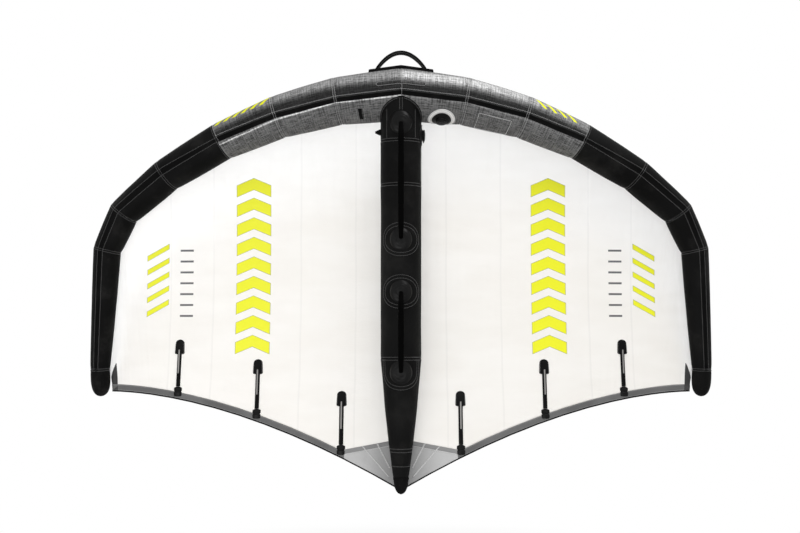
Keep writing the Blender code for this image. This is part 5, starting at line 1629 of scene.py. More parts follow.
def superround(turn, power=2.6):
    """Point on a rounded square of half size 1."""
    cosine, sine = math.cos(turn), math.sin(turn)
    return (math.copysign(abs(cosine) ** (2 / power), cosine), math.copysign(abs(sine) ** (2 / power), sine))


def foot_of(number):
    station = strut.at_drop(ANCHOR_DROPS[number])
    out = strut.out(station, 0)
    return strut.on(station, 0) + out * (ANCHOR_HEIGHT + GAP * 2 + GRIP_FOOT_RADIUS)


for body, (first, last) in HANDLE_BODIES.items():
    start, stop = foot_of(first), foot_of(last)
    along = (stop - start).normalized()
    span = (stop - start).length
    out = (Vector((0, -1, 0)) - along * along.dot(Vector((0, -1, 0)))).normalized()
    across = Vector((1, 0, 0))

    def bar_line(travel):
        """Middle line of the bar and how much of its full section it has, at a share of its length."""
        near = min(travel, 1 - travel) * span * BAR_LEAD
        bend = min(1.0, max(0.0, near / (GRIP_BEND_LENGTH * BEND_SPREAD)))
        rise = math.sin(bend * math.pi / 2) ** BEND_FULLNESS
        place = max(0.0, min(near, span / 2))
        place = place if travel < 0.5 else span - place
        return start + along * place + out * (GRIP_RISE * rise), bend

    def bar(u, v):
        turn = 2 * math.pi * u
        here, bend = bar_line(v)
        before, after = bar_line(max(0, v - BAR_STEP))[0], bar_line(min(1, v + BAR_STEP))[0]
        way = (after - before).normalized()
        deep = across.cross(way).normalized()
        wide = (2 * GRIP_FOOT_RADIUS + (GRIP_WIDTH - 2 * GRIP_FOOT_RADIUS) * smooth(bend)) / 2
        thick = (GRIP_FOOT_THICKNESS + (GRIP_THICKNESS - GRIP_FOOT_THICKNESS) * smooth(bend)) / 2
        near = min(v, 1 - v) * span
        ribbed = smooth((near - 0.030) / 0.012) * (1 - smooth((near - RIB_ZONE) / 0.010))
        rib = RIB_DEPTH * ribbed * (0.5 + 0.5 * math.cos(2 * math.pi * near / RIB_PITCH))
        close = round_off(near / BAR_END)
        x, y = superround(turn)
        return here + across * ((wide - rib) * x * close) + deep * ((thick - rib) * y * close)

    builder = grid_of(36, 420, bar, cut_flat(0.08, span))
    add_piece(f"{body}_grip", builder, grip_rubber, body=body, replaces=[body])
    print(body, "span", round(span, 3))

# %% [markdown]
# ## Handle on the leading edge
#
# A padded webbing arch stands on a flat base. It is rolled like the others, but flatter, and a row of
# stitches runs along both of its sides. The base is a strip with a raised hem along its two long edges.

# %% Leading edge handle
HANDLE_WIDTH, HANDLE_FOOT_RADIUS, HANDLE_FOOT_THICKNESS = 0.038, 0.008, 0.006
HANDLE_BASE_REACH, HANDLE_BASE_WIDTH = 0.136, 0.052
ARCH_ROUND, ARCH_STEP = 0.12, 0.003
BACKWARDS = Vector((0, 1, 0))
BASE_HEM, BASE_HEM_RISE = 0.012, 0.0095
TOP_ANGLE = -math.pi / 2

flat_angle = HANDLE_BASE_WIDTH / CENTRE_TUBE_RADIUS / 8
seat_height = (CENTRE_TUBE_RADIUS + GAP) / math.cos(flat_angle) - CENTRE_TUBE_RADIUS
top = top_of_edge(HANDLE_FOOT_REACH, seat_height + HANDLE_BASE_THICKNESS)
slant = abs(edges[1].ways[0].z / edges[1].ways[0].x) * HANDLE_FOOT_THICKNESS / 2
foot_height = top.z + GAP + slant + HANDLE_FOOT_RADIUS
foot_depth = top.y
arch_rise = HANDLE_APEX_HEIGHT - foot_height


def arch_line(share):
    angle = math.pi * share
    rise = ARCH_ROUND * math.sin(angle) + (1 - ARCH_ROUND) * math.sin(angle) ** 2
    return Vector((-HANDLE_FOOT_REACH * math.cos(angle), foot_depth, foot_height + arch_rise * rise))


def arch_depth(share):
    """The way from the handle's back to its face, square to its line."""
    way = arch_line(min(1, share + ARCH_STEP)) - arch_line(max(0, share - ARCH_STEP))
    return BACKWARDS.cross(way.normalized()).normalized()


def arch(u, v):
    turn = 2 * math.pi * u
    full = smooth(min(v, 1 - v) / 0.30)
    wide = (2 * HANDLE_FOOT_RADIUS + (HANDLE_WIDTH - 2 * HANDLE_FOOT_RADIUS) * full) / 2
    sturdy = smooth(min(v, 1 - v) / 0.07)
    thick = (HANDLE_FOOT_THICKNESS + (HANDLE_THICKNESS - HANDLE_FOOT_THICKNESS) * sturdy) / 2
    x, y = math.cos(turn), math.sin(turn)
    pad = thick * (1 - 0.55 * abs(x) ** 5)
    end = round_off(min(v, 1 - v) / 0.012)
    across = BACKWARDS * (wide * math.copysign(abs(x) ** 0.8, x) * end)
    return arch_line(v) + across + arch_depth(v) * (pad * y * end)


builder = grid_of(40, 160, arch, cut_flat(0.10, 0.30))
piece = add_piece("leading_edge_handle_pad", builder, webbing, body="leading_edge_handle",
                  replaces=["leading_edge_handle"])
handle_rows = bmesh.new()
for side in (-1, 1):

    def place(share, aside):
        v = 0.04 + 0.92 * share
        x = side * 0.78 + aside / (HANDLE_WIDTH / 2)
        return arch(math.acos(max(-1, min(1, x))) / (2 * math.pi), v) + arch_depth(v) * 0.0003

    sew(handle_rows, place, 0.30, swing=0.0008)
finish_sewing("leading_edge_handle_stitches", handle_rows, dim_thread, body="leading_edge_handle")


def base_strip(u, v):
    reach = HANDLE_BASE_REACH * (2 * v - 1)
    edge = edges[1 if reach >= 0 else -1]
    station = abs(reach) / abs(edge.ways[0].x) / edge.lengths[0]
    wide = HANDLE_BASE_WIDTH + 2 * BASE_HEM
    angle = TOP_ANGLE + (u - 0.5) * wide / CENTRE_TUBE_RADIUS
    soft = min(u, 1 - u) * wide
    hem = BASE_HEM_RISE * bump(soft - BASE_HEM / 2, BASE_HEM / 2)
    near_end = HANDLE_BASE_REACH - abs(reach)
    fall = math.sqrt(max(0, min(1, soft / 0.003, near_end / 0.004)))
    return edge.on(station, angle, seat_height + (HANDLE_BASE_THICKNESS + hem) * fall)


builder = grid_of(60, 110, base_strip, cut_flat(HANDLE_BASE_WIDTH, 2 * HANDLE_BASE_REACH))
add_cloth("handle_base_webbing", builder, webbing, HANDLE_BASE_WIDTH + 3 * BASE_HEM, 2 * HANDLE_BASE_REACH,
          ["casing_left_1", "casing_right_1"], replaces=["leading_edge_handle_base"], thickness=0.0018)
print("handle arch rises", round(arch_rise, 4))

# %% [markdown]
# ## Battens
#
# Three short battens stiffen the trailing edge on each side. Each lies in a sewn black pocket with a
# bell-shaped cap. A light tape runs down its ridge, and a moulded end hooks over the hem. The pocket is
# one sheet laid over the rod: flat at its edges and round in the middle.

# %% Battens
BATTEN_REACHES = (0.264, 0.645, 1.010)
BATTEN_LENGTHS = (0.276, 0.263, 0.256)
BATTEN_END_MARGIN = 0.010
CAP_WIDTH, CAP_LENGTH = 0.046, 0.065
SLEEVE_WIDTH, SLEEVE_HEIGHT, POCKET_SWELL = 0.020, 0.0068, 0.16
FITTING_WIDTH, FITTING_LENGTH, FITTING_HEIGHT = 0.038, 0.044, 0.0086
CAP_SHARES = (0, 0.03, 0.09, 0.20, 0.40, 0.84, 0.93, 1.0)
CAP_WIDTHS = (0.02, 0.42, 0.68, 0.88, 0.93, 0.98, 1.0, 0.90)
FITTING_SHARES = (0, 0.05, 0.14, 0.42, 0.47, 0.56, 0.62, 0.95, 1)
FITTING_WIDTHS = (0.30, 0.55, 0.98, 1.0, 0.86, 0.86, 1.0, 0.94, 0.60)
FITTING_HEIGHTS = (0.25, 0.80, 0.9, 1.0, 0.72, 0.72, 1.0, 0.85, 0.25)
TAPE_WIDTH, TAPE_LAP, TAPE_END_SHARE, TAPE_RISE = 0.0060, 0.28, 0.60, 0.0004
VAULT_LIFT = 0.0009

light_tape = cloth("light_tape", grey(0.26, 0.03), grey(0.34, 0.03), 0.5, ripstop=0.004)
fitting_plastic = moulding(
    "fitting_plastic", 0.45, skin=(1400.0, 2.0), relief=(0.3, 0.0002), wear=(60.0, 4.0, 0.65),
    wear_limits=(0.5, 0.75), levels=(0.004, 0.010), roughness=(0.36, 0.6), specular=0.12)


def canopy_spot(canopy, reach, drop):
    """Place on the rider's face, the way across and the way out of it."""
    rib, share = canopy.find(reach, drop)
    out = canopy.face(rib, share)
    below = canopy.rib_point(*canopy.find(reach, drop + 0.004))
    point = canopy.rib_point(rib, share)
    across = (below - point).cross(out).normalized()
    lie = CANOPY_THICKNESS / 2 + canopy_lie(canopy.way, rib, min(share, HEM_FACE_SHARE))
    return point + out * lie, across, out


def low_vault(canopy, reach, first, last, width_at, height_at, lift=VAULT_LIFT):
    """A low rounded sheet down the canopy between two drops."""
    spots = {}

    def place(u, v):
        if v not in spots:
            spots[v] = canopy_spot(canopy, reach, first + (last - first) * v)
        point, across, out = spots[v]
        x = 2 * u - 1
        dome = (1 - abs(x) ** 2.4) ** 0.7 if abs(x) < 1 else 0.0
        return point + across * (width_at(v) * x / 2) + out * (lift + height_at(v) * dome)
    return place


for way, canopy in canopies.items():
    side = SIDES[way]
    rows = bmesh.new()
    for number, (reach, length) in enumerate(zip(BATTEN_REACHES, BATTEN_LENGTHS), 1):
        bottom = trailing_drop(reach) - BATTEN_END_MARGIN
        top = bottom - length
        pocket_end = bottom - FITTING_LENGTH
        sleeve_top = top + CAP_LENGTH
        pocket = pocket_end - top
        cap_share = CAP_LENGTH / pocket

        def pocket_width(v):
            if v < cap_share:
                return CAP_WIDTH * ramp(v / cap_share, CAP_SHARES, CAP_WIDTHS)
            flare = 1 - smooth((v - cap_share) / 0.012)
            return SLEEVE_WIDTH + (CAP_WIDTH * CAP_WIDTHS[-1] - SLEEVE_WIDTH) * flare

        def pocket_height(v):
            swell = 1.0 + POCKET_SWELL * bump(v - cap_share * 0.85, 0.03)
            return SLEEVE_HEIGHT * (0.35 + 0.65 * smooth(v / 0.08)) * swell

        vault = low_vault(canopy, reach, top, pocket_end, pocket_width, pocket_height)
        add_cloth(f"batten_pocket_cloth_{side}_{number}",
                  grid_of(20, 150, vault, cut_flat(SLEEVE_WIDTH, pocket)), strut_cloth,
                  SLEEVE_WIDTH * 1.35, pocket, [f"canopy_sheet_{side}"],
                  replaces=[f"batten_pocket_{side}_{number}"], thickness=0.0008)
        tape_start = sleeve_top - CAP_LENGTH * TAPE_LAP
        tape_end = sleeve_top + (pocket_end - sleeve_top) * TAPE_END_SHARE
        vault = low_vault(canopy, reach, tape_start, tape_end, lambda v: TAPE_WIDTH, lambda v: TAPE_RISE,
                          SLEEVE_HEIGHT * (1 + POCKET_SWELL) + VAULT_LIFT)
        add_cloth(f"batten_tape_{side}_{number}", grid_of(6, 70, vault, cut_flat(TAPE_WIDTH, 0.12)),
                  light_tape, TAPE_WIDTH, tape_end - tape_start, [f"batten_pocket_cloth_{side}_{number}"],
                  thickness=0.0005)
        fitting = low_vault(
            canopy, reach, pocket_end, pocket_end + FITTING_LENGTH,
            lambda v: FITTING_WIDTH * ramp(v, FITTING_SHARES, FITTING_WIDTHS),
            lambda v: FITTING_HEIGHT * ramp(v, FITTING_SHARES, FITTING_HEIGHTS))
        add_piece(f"batten_end_{side}_{number}", grid_of(24, 48, fitting, cut_flat(1, 1)), fitting_plastic,
                  replaces=[f"batten_rod_{side}_{number}"], thickness=0.002, smooth_angle=35)
        for flank in (-1, 1):

            def place(share, aside):
                v = cap_share * (0.22 + 0.72 * share)
                point, across, out = canopy_spot(canopy, reach, top + pocket * v)
                half = pocket_width(v) / 2 - 0.0035
                return point + across * (flank * half + aside) + out * (0.0016 + SLEEVE_HEIGHT * 0.62)

            sew(rows, place, CAP_LENGTH * 0.75, swing=0.0010)
    finish_sewing(f"batten_stitches_{side}", rows, dim_thread)
print("battens done, rows sewn", rows_sewn)

# %% [markdown]
# ## Tail patches and tip gussets
#
# Where the trailing edge meets the strut, a triangle of light grey cloth spreads the load. Its top edge
# has a darker hem, and two bundles of three rows of stitches run from the hem to a spot near the strut. A
# narrow grey gusset spreads the load beside each tip.

# %% Tail patches
TAIL_PATCH_REACH, TAIL_PATCH_TOP_DROP, TAIL_PATCH_OUTER_RISE = 0.250, 1.522, 0.047
PATCH_HEM, PATCH_LENGTH = 0.017, 0.2
PATCH_SEAT, HEM_SEAT = 0.0014, 0.0008
FAN_ROWS = ((0.168, 0.054, 1.680), (0.104, 0.049, 1.645))
FAN_ROW_GAP = 0.0021


def patch_point(canopy, reach, drop, height):
    point, across, out = canopy_spot(canopy, reach, drop)
    return point + out * height


def patch_top(reach):
    return TAIL_PATCH_TOP_DROP + TAIL_PATCH_OUTER_RISE * reach / TAIL_PATCH_REACH


for way, canopy in canopies.items():
    side = SIDES[way]
    inner = STRUT_END_RADIUS / 2
    pieces = (
        (f"tail_patch_cloth_{side}", patch_cloth, 40, PATCH_LENGTH, [f"tail_patch_{side}"], PATCH_SEAT,
         patch_top, lambda reach: trailing_drop(reach) - 0.001),
        (f"tail_patch_hem_{side}", patch_hem, 6, PATCH_HEM, [], PATCH_SEAT + HEM_SEAT,
         lambda reach: patch_top(reach) - 0.001, lambda reach: patch_top(reach) + PATCH_HEM),
    )
    for name, finish, rows, length, replaced, height, low, high in pieces:

        def place(u, v):
            reach = inner + (TAIL_PATCH_REACH - inner) * u
            first, last = low(reach), max(high(reach), low(reach) + 0.002)
            return patch_point(canopy, reach, first + (last - first) * v, height)

        builder = grid_of(60, rows, place, cut_flat(0.24, 0.2))
        piece = add_piece(name, builder, finish, replaces=replaced, thickness=0.0006)
        width, area = TAIL_PATCH_REACH - inner, area_of(piece)
        max(length, area / width)
    rows = bmesh.new()
    for (near, far, far_drop), gap in itertools.product(FAN_ROWS, (-FAN_ROW_GAP, 0, FAN_ROW_GAP)):

        def place(share, aside):
            near_drop = patch_top(near) + 0.001
            reach = near + (far - near) * share + aside + gap
            drop = near_drop + (far_drop - near_drop) * share
            return patch_point(canopy, reach, drop, PATCH_SEAT + 0.0024)

        sew(rows, place, math.hypot(far - near, far_drop - patch_top(near)))

    def under_hem(share, aside):
        reach = 0.05 + (TAIL_PATCH_REACH - 0.06) * share
        return patch_point(canopy, reach, patch_top(reach) + PATCH_HEM + 0.003 + aside, PATCH_SEAT + 0.0012)

    sew(rows, under_hem, 0.19)
    finish_sewing(f"tail_patch_stitches_{side}", rows, white_thread)
print("tail patches done, rows sewn", rows_sewn)

# %% Tip gussets and trailing stitches
GUSSET_RIBS = (13.35, 14.0)
GUSSET_SHARES = (0.40, 0.985)
HEM_ROW_SHARES, HEM_ROW_LENGTH = (0.10, 0.86), 1.42

for way, canopy in canopies.items():
    side = SIDES[way]

    def place(u, v):
        slim = smooth(v / 0.25)
        rib = GUSSET_RIBS[1] - (GUSSET_RIBS[1] - GUSSET_RIBS[0]) * u * (0.25 + 0.75 * slim)
        share = GUSSET_SHARES[0] + (GUSSET_SHARES[1] - GUSSET_SHARES[0]) * v
        return on_canopy(canopy, rib, share, 0.0012)

    add_cloth(f"tip_gusset_{side}", grid_of(16, 80, place, cut_flat(0.03, 0.28)), gusset_cloth,
              0.05, 0.30, [f"canopy_sheet_{side}"], thickness=0.0006)
    rows = bmesh.new()
    for row_share in HEM_ROW_SHARES:
        sew(rows, lambda share, aside: along_trailing(
            canopy, 0.005 + 0.99 * share, row_share + aside / TRAILING_BAND_WIDTH, 0.0012),
            HEM_ROW_LENGTH, swing=0.0012)
    finish_sewing(f"trailing_stitches_{side}", rows, light_thread)
print("rows sewn", rows_sewn)

# %% [markdown]
# ## Valves
#
# Both valves are turned parts: a flange that follows the tube, a collar, an insert that locks with a
# quarter turn, and a cap with a pull tab on a small hinge. A profile is swept round the valve's axis by
# the rolled grid. The pale ring round the valve on the leading edge is cloth.

# %% Valves
VALVE_FLANGE_RADIUS, VALVE_FLANGE_THICKNESS = 0.046, 0.0022
VALVE_COLLAR_HEIGHT, VALVE_PLATE_THICKNESS, VALVE_CAP_HEIGHT = 0.006, 0.003, 0.007
VALVE_HINGE_REACH, VALVE_KNUCKLE_RADIUS, VALVE_KNUCKLE_LENGTH = 0.0305, 0.0024, 0.006
VALVE_PATCH_RADIUS, PATCH_GAP, RING_INNER = 0.064, 0.0009, 0.045
RING_ROW_RADII, RING_ROW_SEAT = (0.0505, 0.0605), 0.0011
EDGE_VALVE_REACH, EDGE_VALVE_ANGLE = 0.1875, math.radians(74)
STRUT_VALVE_DROP = 0.186


class ValveSeat:
    """Where a valve stands on a tube, and the height of the cloth there."""

    def __init__(self, tube, station, angle, cloth_height):
        self.tube, self.station, self.angle, self.cloth_height = tube, station, angle, cloth_height
        self.centre = tube.on(station, angle)
        self.out = tube.out(station, angle)
        self.way = tube.ways[int(station)]
        self.around = tube.outward(int(station), angle + math.pi / 2)

    def on_cloth(self, turn, radius, height):
        place = self.tube.station(self.tube.travel(self.station) + radius * math.cos(turn))
        angle = self.angle + radius * math.sin(turn) / self.tube.radius(place)
        cloth_height = max(0.0, self.cloth_height(self.tube, place, angle))
        return self.tube.on(place, angle, cloth_height + height)

    def spun(self, profile):
        """Rule for a rolled grid; the profile lists radius, height and how far it follows the cloth."""
        marks = [index / (len(profile) - 1) for index in range(len(profile))]

        def place(u, v):
            turn = 2 * math.pi * u
            radius, height, follow = (ramp(v, marks, values) for values in zip(*profile))
            spoke = self.way * math.cos(turn) + self.around * math.sin(turn)
            square = self.centre + self.out * height + spoke * radius
            return square.lerp(self.on_cloth(turn, radius, height), follow)
        return place


edge_station = EDGE_VALVE_REACH / edges[1].ways[0].x / edges[1].lengths[0]
edge_seat = ValveSeat(edges[1], edge_station, EDGE_VALVE_ANGLE, casing_height)
strut_seat = ValveSeat(strut, strut.at_drop(STRUT_VALVE_DROP), math.pi / 2, strut_height)
flange_top = PATCH_GAP + VALVE_FLANGE_THICKNESS
insert_low = VALVE_COLLAR_HEIGHT + GAP
insert_high = insert_low + VALVE_PLATE_THICKNESS
cap_low = insert_high + GAP
cap_high = cap_low + VALVE_CAP_HEIGHT

BASE_PROFILE = (
    (VALVE_FLANGE_RADIUS, PATCH_GAP - 0.0008, 1), (VALVE_FLANGE_RADIUS, PATCH_GAP + 0.001, 1),
    (VALVE_FLANGE_RADIUS - 0.0012, flange_top, 1), (0.041, flange_top, 1),
    (0.0402, flange_top - 0.0006, 1), (0.0378, flange_top - 0.0006, 1), (0.037, flange_top, 1),
    (0.030, flange_top + 0.0002, 0.8), (0.0262, flange_top + 0.0008, 0.3),
    (0.0252, VALVE_COLLAR_HEIGHT - 0.001, 0), (0.0240, VALVE_COLLAR_HEIGHT, 0),
    (0.0195, VALVE_COLLAR_HEIGHT, 0), (0.0190, VALVE_COLLAR_HEIGHT - 0.001, 0), (0.0190, -0.010, 0))
INSERT_PROFILE = (
    (0.0177, -0.004, 0), (0.0177, insert_low, 0), (0.0232, insert_low, 0), (0.0240, insert_low + 0.0008, 0),
    (0.0240, insert_high - 0.0006, 0), (0.0234, insert_high, 0), (0.0130, insert_high, 0),
    (0.0122, insert_high - 0.0008, 0), (0.0122, -0.006, 0))
CAP_PROFILE = (
    (0.0, cap_low - 0.004, 0), (0.0100, cap_low - 0.004, 0), (0.0112, cap_low, 0), (0.0250, cap_low, 0),
    (0.0259, cap_low + 0.0010, 0), (0.0259, cap_low + 0.0028, 0), (0.0250, cap_low + 0.0042, 0),
    (0.0226, cap_low + 0.0052, 0), (0.0190, cap_high - 0.0009, 0), (0.0180, cap_high - 0.0014, 0),
    (0.0165, cap_high - 0.0014, 0), (0.0155, cap_high - 0.0007, 0), (0.0120, cap_high, 0), (0.0, cap_high, 0))


BAR_SHARES, BAR_SLIMS = (0, 0.001, 0.06, 0.94, 0.999, 1), (0, 0.9, 1, 1, 0.9, 0)


def tube_between(builder, start, finish, radius, columns=16):
    """A short round bar with flat ends."""
    way = (finish - start).normalized()
    side = way.orthogonal().normalized()
    other = way.cross(side)

    def place(u, v):
        turn = 2 * math.pi * u
        slim = ramp(v, BAR_SHARES, BAR_SLIMS)
        return start.lerp(finish, v) + (side * math.cos(turn) + other * math.sin(turn)) * radius * slim

    lay_grid(builder, columns, 24, place, cut_flat(1, 1))


for prefix, seat in (("leading_edge_valve", edge_seat), ("strut_valve", strut_seat)):
    print(prefix, [round(value, 4) for value in (*seat.centre, *seat.out)])
    base = grid_of(72, 78, seat.spun(BASE_PROFILE), cut_flat(0.2, 0.06))
    add_piece(f"{prefix}_collar", base, fitting_plastic, replaces=[f"{prefix}_base"],
              thickness=0.0007, smooth_angle=35)
    insert = grid_of(72, 48, seat.spun(INSERT_PROFILE), cut_flat(0.1, 0.04))
    hinge = seat.centre + seat.way * VALVE_HINGE_REACH + seat.out * insert_high
    pitch = VALVE_KNUCKLE_LENGTH + GAP
    reach = seat.around * (VALVE_KNUCKLE_LENGTH / 2)
    for offset in (-pitch, pitch):
        knuckle = hinge + seat.around * offset
        tube_between(insert, knuckle - reach, knuckle + reach, VALVE_KNUCKLE_RADIUS)
        inner_end = knuckle - seat.way * 0.008 - seat.out * 0.0012
        tube_between(insert, inner_end, knuckle - seat.out * 0.0008, 0.0016)
    add_piece(f"{prefix}_lock", insert, fitting_plastic, body=f"{prefix}_insert",
              replaces=[f"{prefix}_insert"], thickness=0.0006, smooth_angle=35)
    cap = grid_of(72, 78, seat.spun(CAP_PROFILE), cut_flat(0.1, 0.06))
    tube_between(cap, hinge - reach, hinge + reach, VALVE_KNUCKLE_RADIUS)
    tube_between(cap, hinge + seat.out * 0.0008, hinge - seat.way * 0.0075 + seat.out * 0.0022, 0.0017)
    for step in range(-2, 3):
        grip = seat.centre + seat.way * (0.0016 * step - 0.0053) + seat.out * (cap_high + 0.0001)
        half = seat.around * (0.007 - 0.0008 * abs(step))
        tube_between(cap, grip - half, grip + half, 0.0006, 10)
    add_piece(f"{prefix}_lid", cap, moulded, body=f"{prefix}_cap",
              replaces=[f"{prefix}_cap"], smooth_angle=40)


def ring_point(u, v):
    radius = RING_INNER + (VALVE_PATCH_RADIUS - RING_INNER) * v
    height = PATCH_GAP + 0.0007 * (1 - smooth((v - 0.92) / 0.08))
    return edge_seat.on_cloth(2 * math.pi * u, radius, height)


piece = add_piece("valve_ring", grid_of(96, 10, ring_point, cut_flat(0.35, 0.018)), ring_cloth,
                  replaces=["leading_edge_valve_patch"], thickness=0.0006)
rows = bmesh.new()
for radius in RING_ROW_RADII:
    sew(rows, lambda share, aside: edge_seat.on_cloth(
        2 * math.pi * share, radius + aside, PATCH_GAP + RING_ROW_SEAT), 2 * math.pi * radius, swing=0.0010)
finish_sewing("valve_ring_stitches", rows, light_thread)

# %% [markdown]
# ## Loops and patches
#
# Two small webbing loops, one on the leading edge and one on the strut's side, are strips laid along a
# line with two flat feet and an arch. Beside them go the flat trims: a stitched pill over the centre
# seam, a stitched rectangle on the right, and a light tape on the strut's flank.

# %% Loops
WEB_THICKNESS = 0.0016
LEASH_LOOP = (0.182, math.radians(55), 0.016, 0.044, 0.012, 0.15)
SIDE_LOOP = (0.172, -math.pi / 2, 0.024, 0.024, 0.022, 0.62)
FOOT_ROWS, FOOT_ROW_LENGTH = (-0.017, 0.017), 0.056


def add_loop(name, node, tube, station, angle, width, span, rise, pinch, rests_on):
    """A webbing loop across a tube; pinch says how much narrower it is at its top."""
    radius = tube.radius(station)
    way = tube.ways[int(station)]
    foot = width / 2
    length = span + 2 * foot + rise * 1.6

    def line(v):
        travel = (v - 0.5) * length
        arch_half = span / 2 + rise * 0.8
        if abs(travel) < arch_half:
            turn = math.pi / 2 * travel / arch_half
            return span / 2 * math.sin(turn), GAP + WEB_THICKNESS + rise * math.cos(turn)
        return math.copysign(span / 2 + abs(travel) - arch_half, travel), GAP + WEB_THICKNESS

    def place(u, v):
        around, height = line(v)
        narrow = 1 - pinch * smooth((height - WEB_THICKNESS) / rise)
        return tube.on(station, angle + around / radius, height) + way * ((u - 0.5) * width * narrow)

    builder = grid_of(12, 72, place, cut_flat(width, length))
    add_cloth(name, builder, webbing, width, length, rests_on,
              replaces=[node], thickness=WEB_THICKNESS, smooth_angle=60)


reach, angle, *size = LEASH_LOOP
edge = edges[-1]
foot_station = edge.at_reach(reach)
add_loop("leash_webbing", "leash_loop", edge, foot_station, angle, *size, ["casing_left_1"])
loop_rows = bmesh.new()
for offset in FOOT_ROWS:

    def place(share, aside):
        station = edge.station(edge.travel(foot_station) + offset + aside)
        turn = angle + (share - 0.5) * FOOT_ROW_LENGTH / edge.radius(station)
        return on_casing(edge, station, turn, THREAD_RADIUS / 2)

    sew(loop_rows, place, FOOT_ROW_LENGTH)
finish_sewing("leash_stitches", loop_rows, light_thread)
drop, angle, *size = SIDE_LOOP
add_loop("side_webbing", "strut_side_loop", strut, strut.at_drop(drop), angle, *size, ["strut_casing_front"])
print("loops done, rows sewn", rows_sewn)

# %% Flat trims
PILL_REACH_SHARE = 0.37
PILL_ANGLES = (math.radians(-18.5), math.radians(-6.2))
PILL_ROW_HALF_LENGTH, PILL_ROW_HALF_HEIGHT = 0.104, 0.0092
PILL_LENGTH = 2 * PILL_REACH_SHARE * edges[1].lengths[0]
PILL_HEIGHT = (PILL_ANGLES[1] - PILL_ANGLES[0]) * edges[1].radii[0]
PILL_SIZE, PILL_SEAT, TRIM_ROW_SEAT = (0.018, 0.21), 0.0010, 0.0016
WINDOW = (1.22, 1.80, math.radians(34), math.radians(92))
WINDOW_SEAT, WINDOW_INSET, WINDOW_ROWS = 0.0008, 0.03, (0.09, 0.16)
FLANK_TAPE = (0.245, 0.392, math.radians(77), 0.0080)


def pill(u, v, height):
    """Point on the pill; u runs from its left end to its right end and v across it."""
    across = 2 * u - 1
    edge = edges[1 if across >= 0 else -1]
    station = abs(across) * PILL_REACH_SHARE
    low, high = PILL_ANGLES
    middle_angle, half = (low + high) / 2, (high - low) / 2
    round_end = round_off((1 - abs(across)) * PILL_REACH_SHARE * edge.lengths[0] / 0.010)
    return on_casing(edge, station, middle_angle + (2 * v - 1) * half * round_end, height)


builder = grid_of(120, 8, lambda u, v: pill(u, v, PILL_SEAT),
                  lambda u, v: (-0.030 + v * PILL_SIZE[0], u * PILL_SIZE[1]))
add_cloth("centre_patch", builder, heather_cloth, *PILL_SIZE, ["casing_left_1", "casing_right_1"],
          thickness=0.0006)


def pill_row(share, aside):
    """Round the pill at one pace: along the top, round one end, back and round the other."""
    half, bend = PILL_ROW_HALF_LENGTH - PILL_ROW_HALF_HEIGHT, PILL_ROW_HALF_HEIGHT + aside
    side_share = half / (2 * half + math.pi * PILL_ROW_HALF_HEIGHT)
    lap, rest = divmod(share * 2, 1.0)
    along, up = half * (2 * min(1.0, rest / (2 * side_share)) - 1), bend
    if rest > 2 * side_share:
        turn = math.pi * (rest - 2 * side_share) / (1 - 2 * side_share)
        along, up = half + bend * math.sin(turn), bend * math.cos(turn)
    flip = 1 if lap % 2 == 0 else -1
    return pill(0.5 + flip * along / PILL_LENGTH, 0.5 + flip * up / PILL_HEIGHT, TRIM_ROW_SEAT)


print("pill", round(PILL_LENGTH, 4), round(PILL_HEIGHT, 4))
rows = bmesh.new()
sew(rows, pill_row, 4 * PILL_ROW_HALF_LENGTH, swing=0.0007)
finish_sewing("centre_patch_stitches", rows, light_thread)

first, last, low, high = WINDOW
edge = edges[1]


def on_window(u, v, height):
    return on_casing(edge, first + (last - first) * v, low + (high - low) * u, height)


builder = grid_of(
    48, 40, lambda u, v: on_window(u, v, WINDOW_SEAT),
    lambda u, v: ((low + (high - low) * u) * edge.radius(first), edge.travel(first + (last - first) * v)))
add_cloth("edge_window_patch", builder, heather_cloth, 0.096, (last - first) * edge.lengths[1],
          ["casing_right_2"], thickness=0.0006)
rows = bmesh.new()
for lengthways, inset in itertools.product((True, False), (WINDOW_INSET, 1 - WINDOW_INSET)):

    def place(share, aside):
        run = WINDOW_INSET + (1 - 2 * WINDOW_INSET) * share
        if lengthways:
            return on_window(inset + aside / 0.09, run, TRIM_ROW_SEAT)
        return on_window(run, inset + aside / 0.15, TRIM_ROW_SEAT)

    sew(rows, place, WINDOW_ROWS[lengthways], swing=0.0012)
finish_sewing("edge_window_stitches", rows, white_thread)

start, stop, angle, width = FLANK_TAPE
start, stop = (strut.travel(strut.at_drop(drop)) for drop in (start, stop))


def flank(u, v):
    station = strut.station(start + (stop - start) * v)
    return on_strut(station, angle + (u - 0.5) * width / strut.radius(station), 0.0008)


add_cloth("strut_flank_tape", grid_of(6, 40, flank, cut_flat(0.005, 0.15)), light_tape,
          width, stop - start, ["strut_casing_upper"], thickness=0.0006)
print("trims done, rows sewn", rows_sewn)

# %% [markdown]
# ## Bladders
#
# Two air bladders of clear film fill the tubes. They are out of sight, but they belong to the wing, so each
# is rolled along its tube as one closed skin. It stays a little inside the casing, because the sewn cloth
# dips at its seams.

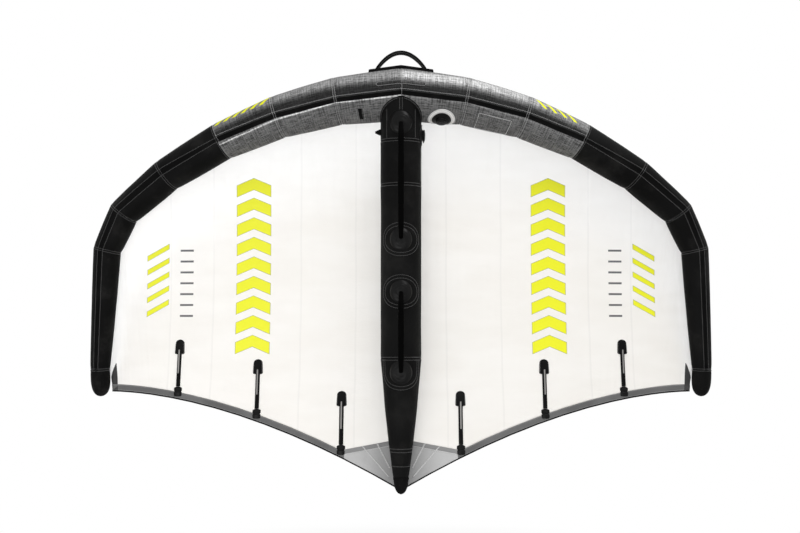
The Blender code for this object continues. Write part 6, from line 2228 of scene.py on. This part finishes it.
# %% Bladders
BLADDER_INSET = 0.010
BLADDER_COLUMNS, BLADDER_ROWS, BLADDER_END_ROWS = 32, 2, 10
BLADDER_TOP_DROP, BLADDER_HEAD_SHARE, BLADDER_TAIL_SHARE, BLADDER_TIP_SHARE = 0.128, 0.6, 0.5, 0.88

bladder_film, sheet, shader = new_finish("bladder_film", 0.25)
place = sheet.add("ShaderNodeTexCoord").outputs["Object"]
haze = sheet.ramp(sheet.noise(place, 6.0), 0.3, 0.7)
sheet.feed(shader.inputs["Base Color"], sheet.mix(haze, (0.55, 0.60, 0.63, 1), (0.66, 0.70, 0.72, 1)))


def roll_film(builder, tube, length, first=0.0, last=1.0, rows=BLADDER_ROWS, slim=lambda share: 1.0):
    """A piece of film along one length; slim gives the share of its full radius."""
    def place(u, v):
        angle, share = turn_of(u), first + (last - first) * v
        near = tube.seam_point(length, angle, -BLADDER_INSET, length)
        far = tube.seam_point(length + 1, angle, -BLADDER_INSET, length)
        core = tube.centres[length].lerp(tube.centres[length + 1], share)
        return core.lerp(near.lerp(far, share), slim(v))

    def cut(u, v):
        return turn_of(u) * tube.radii[length], tube.travel(length + first + (last - first) * v)

    lay_grid(builder, BLADDER_COLUMNS, rows, place, cut)


def rounded(share):
    return math.sqrt(max(0.0, 1 - (1 - share) ** 3))


def add_film(name, builder, node):
    piece = add_piece(name, builder, bladder_film, replaces=[node])
    print(name, len(piece.data.polygons), "faces")


builder = bmesh.new()
for way, edge in edges.items():
    for length in range(len(edge.lengths) - 1):
        roll_film(builder, edge, length)
    roll_film(builder, edge, len(edge.lengths) - 1, 0.0, BLADDER_TIP_SHARE, BLADDER_END_ROWS, cap_radius)
add_film("leading_edge_bladder_film", builder, "leading_edge_bladder")

builder = bmesh.new()
length, share = strut.split(strut.at_drop(BLADDER_TOP_DROP))
end_share = share + (1 - share) * BLADDER_HEAD_SHARE
roll_film(builder, strut, length, share, end_share, BLADDER_END_ROWS, rounded)
roll_film(builder, strut, length, end_share, 1.0)
for length in range(length + 1, strut_seams[-1]):
    roll_film(builder, strut, length)
roll_film(builder, strut, strut_seams[-1], 0.0, BLADDER_TAIL_SHARE, BLADDER_END_ROWS,
          lambda share: rounded(1 - share))
add_film("strut_bladder_film", builder, "strut_bladder")
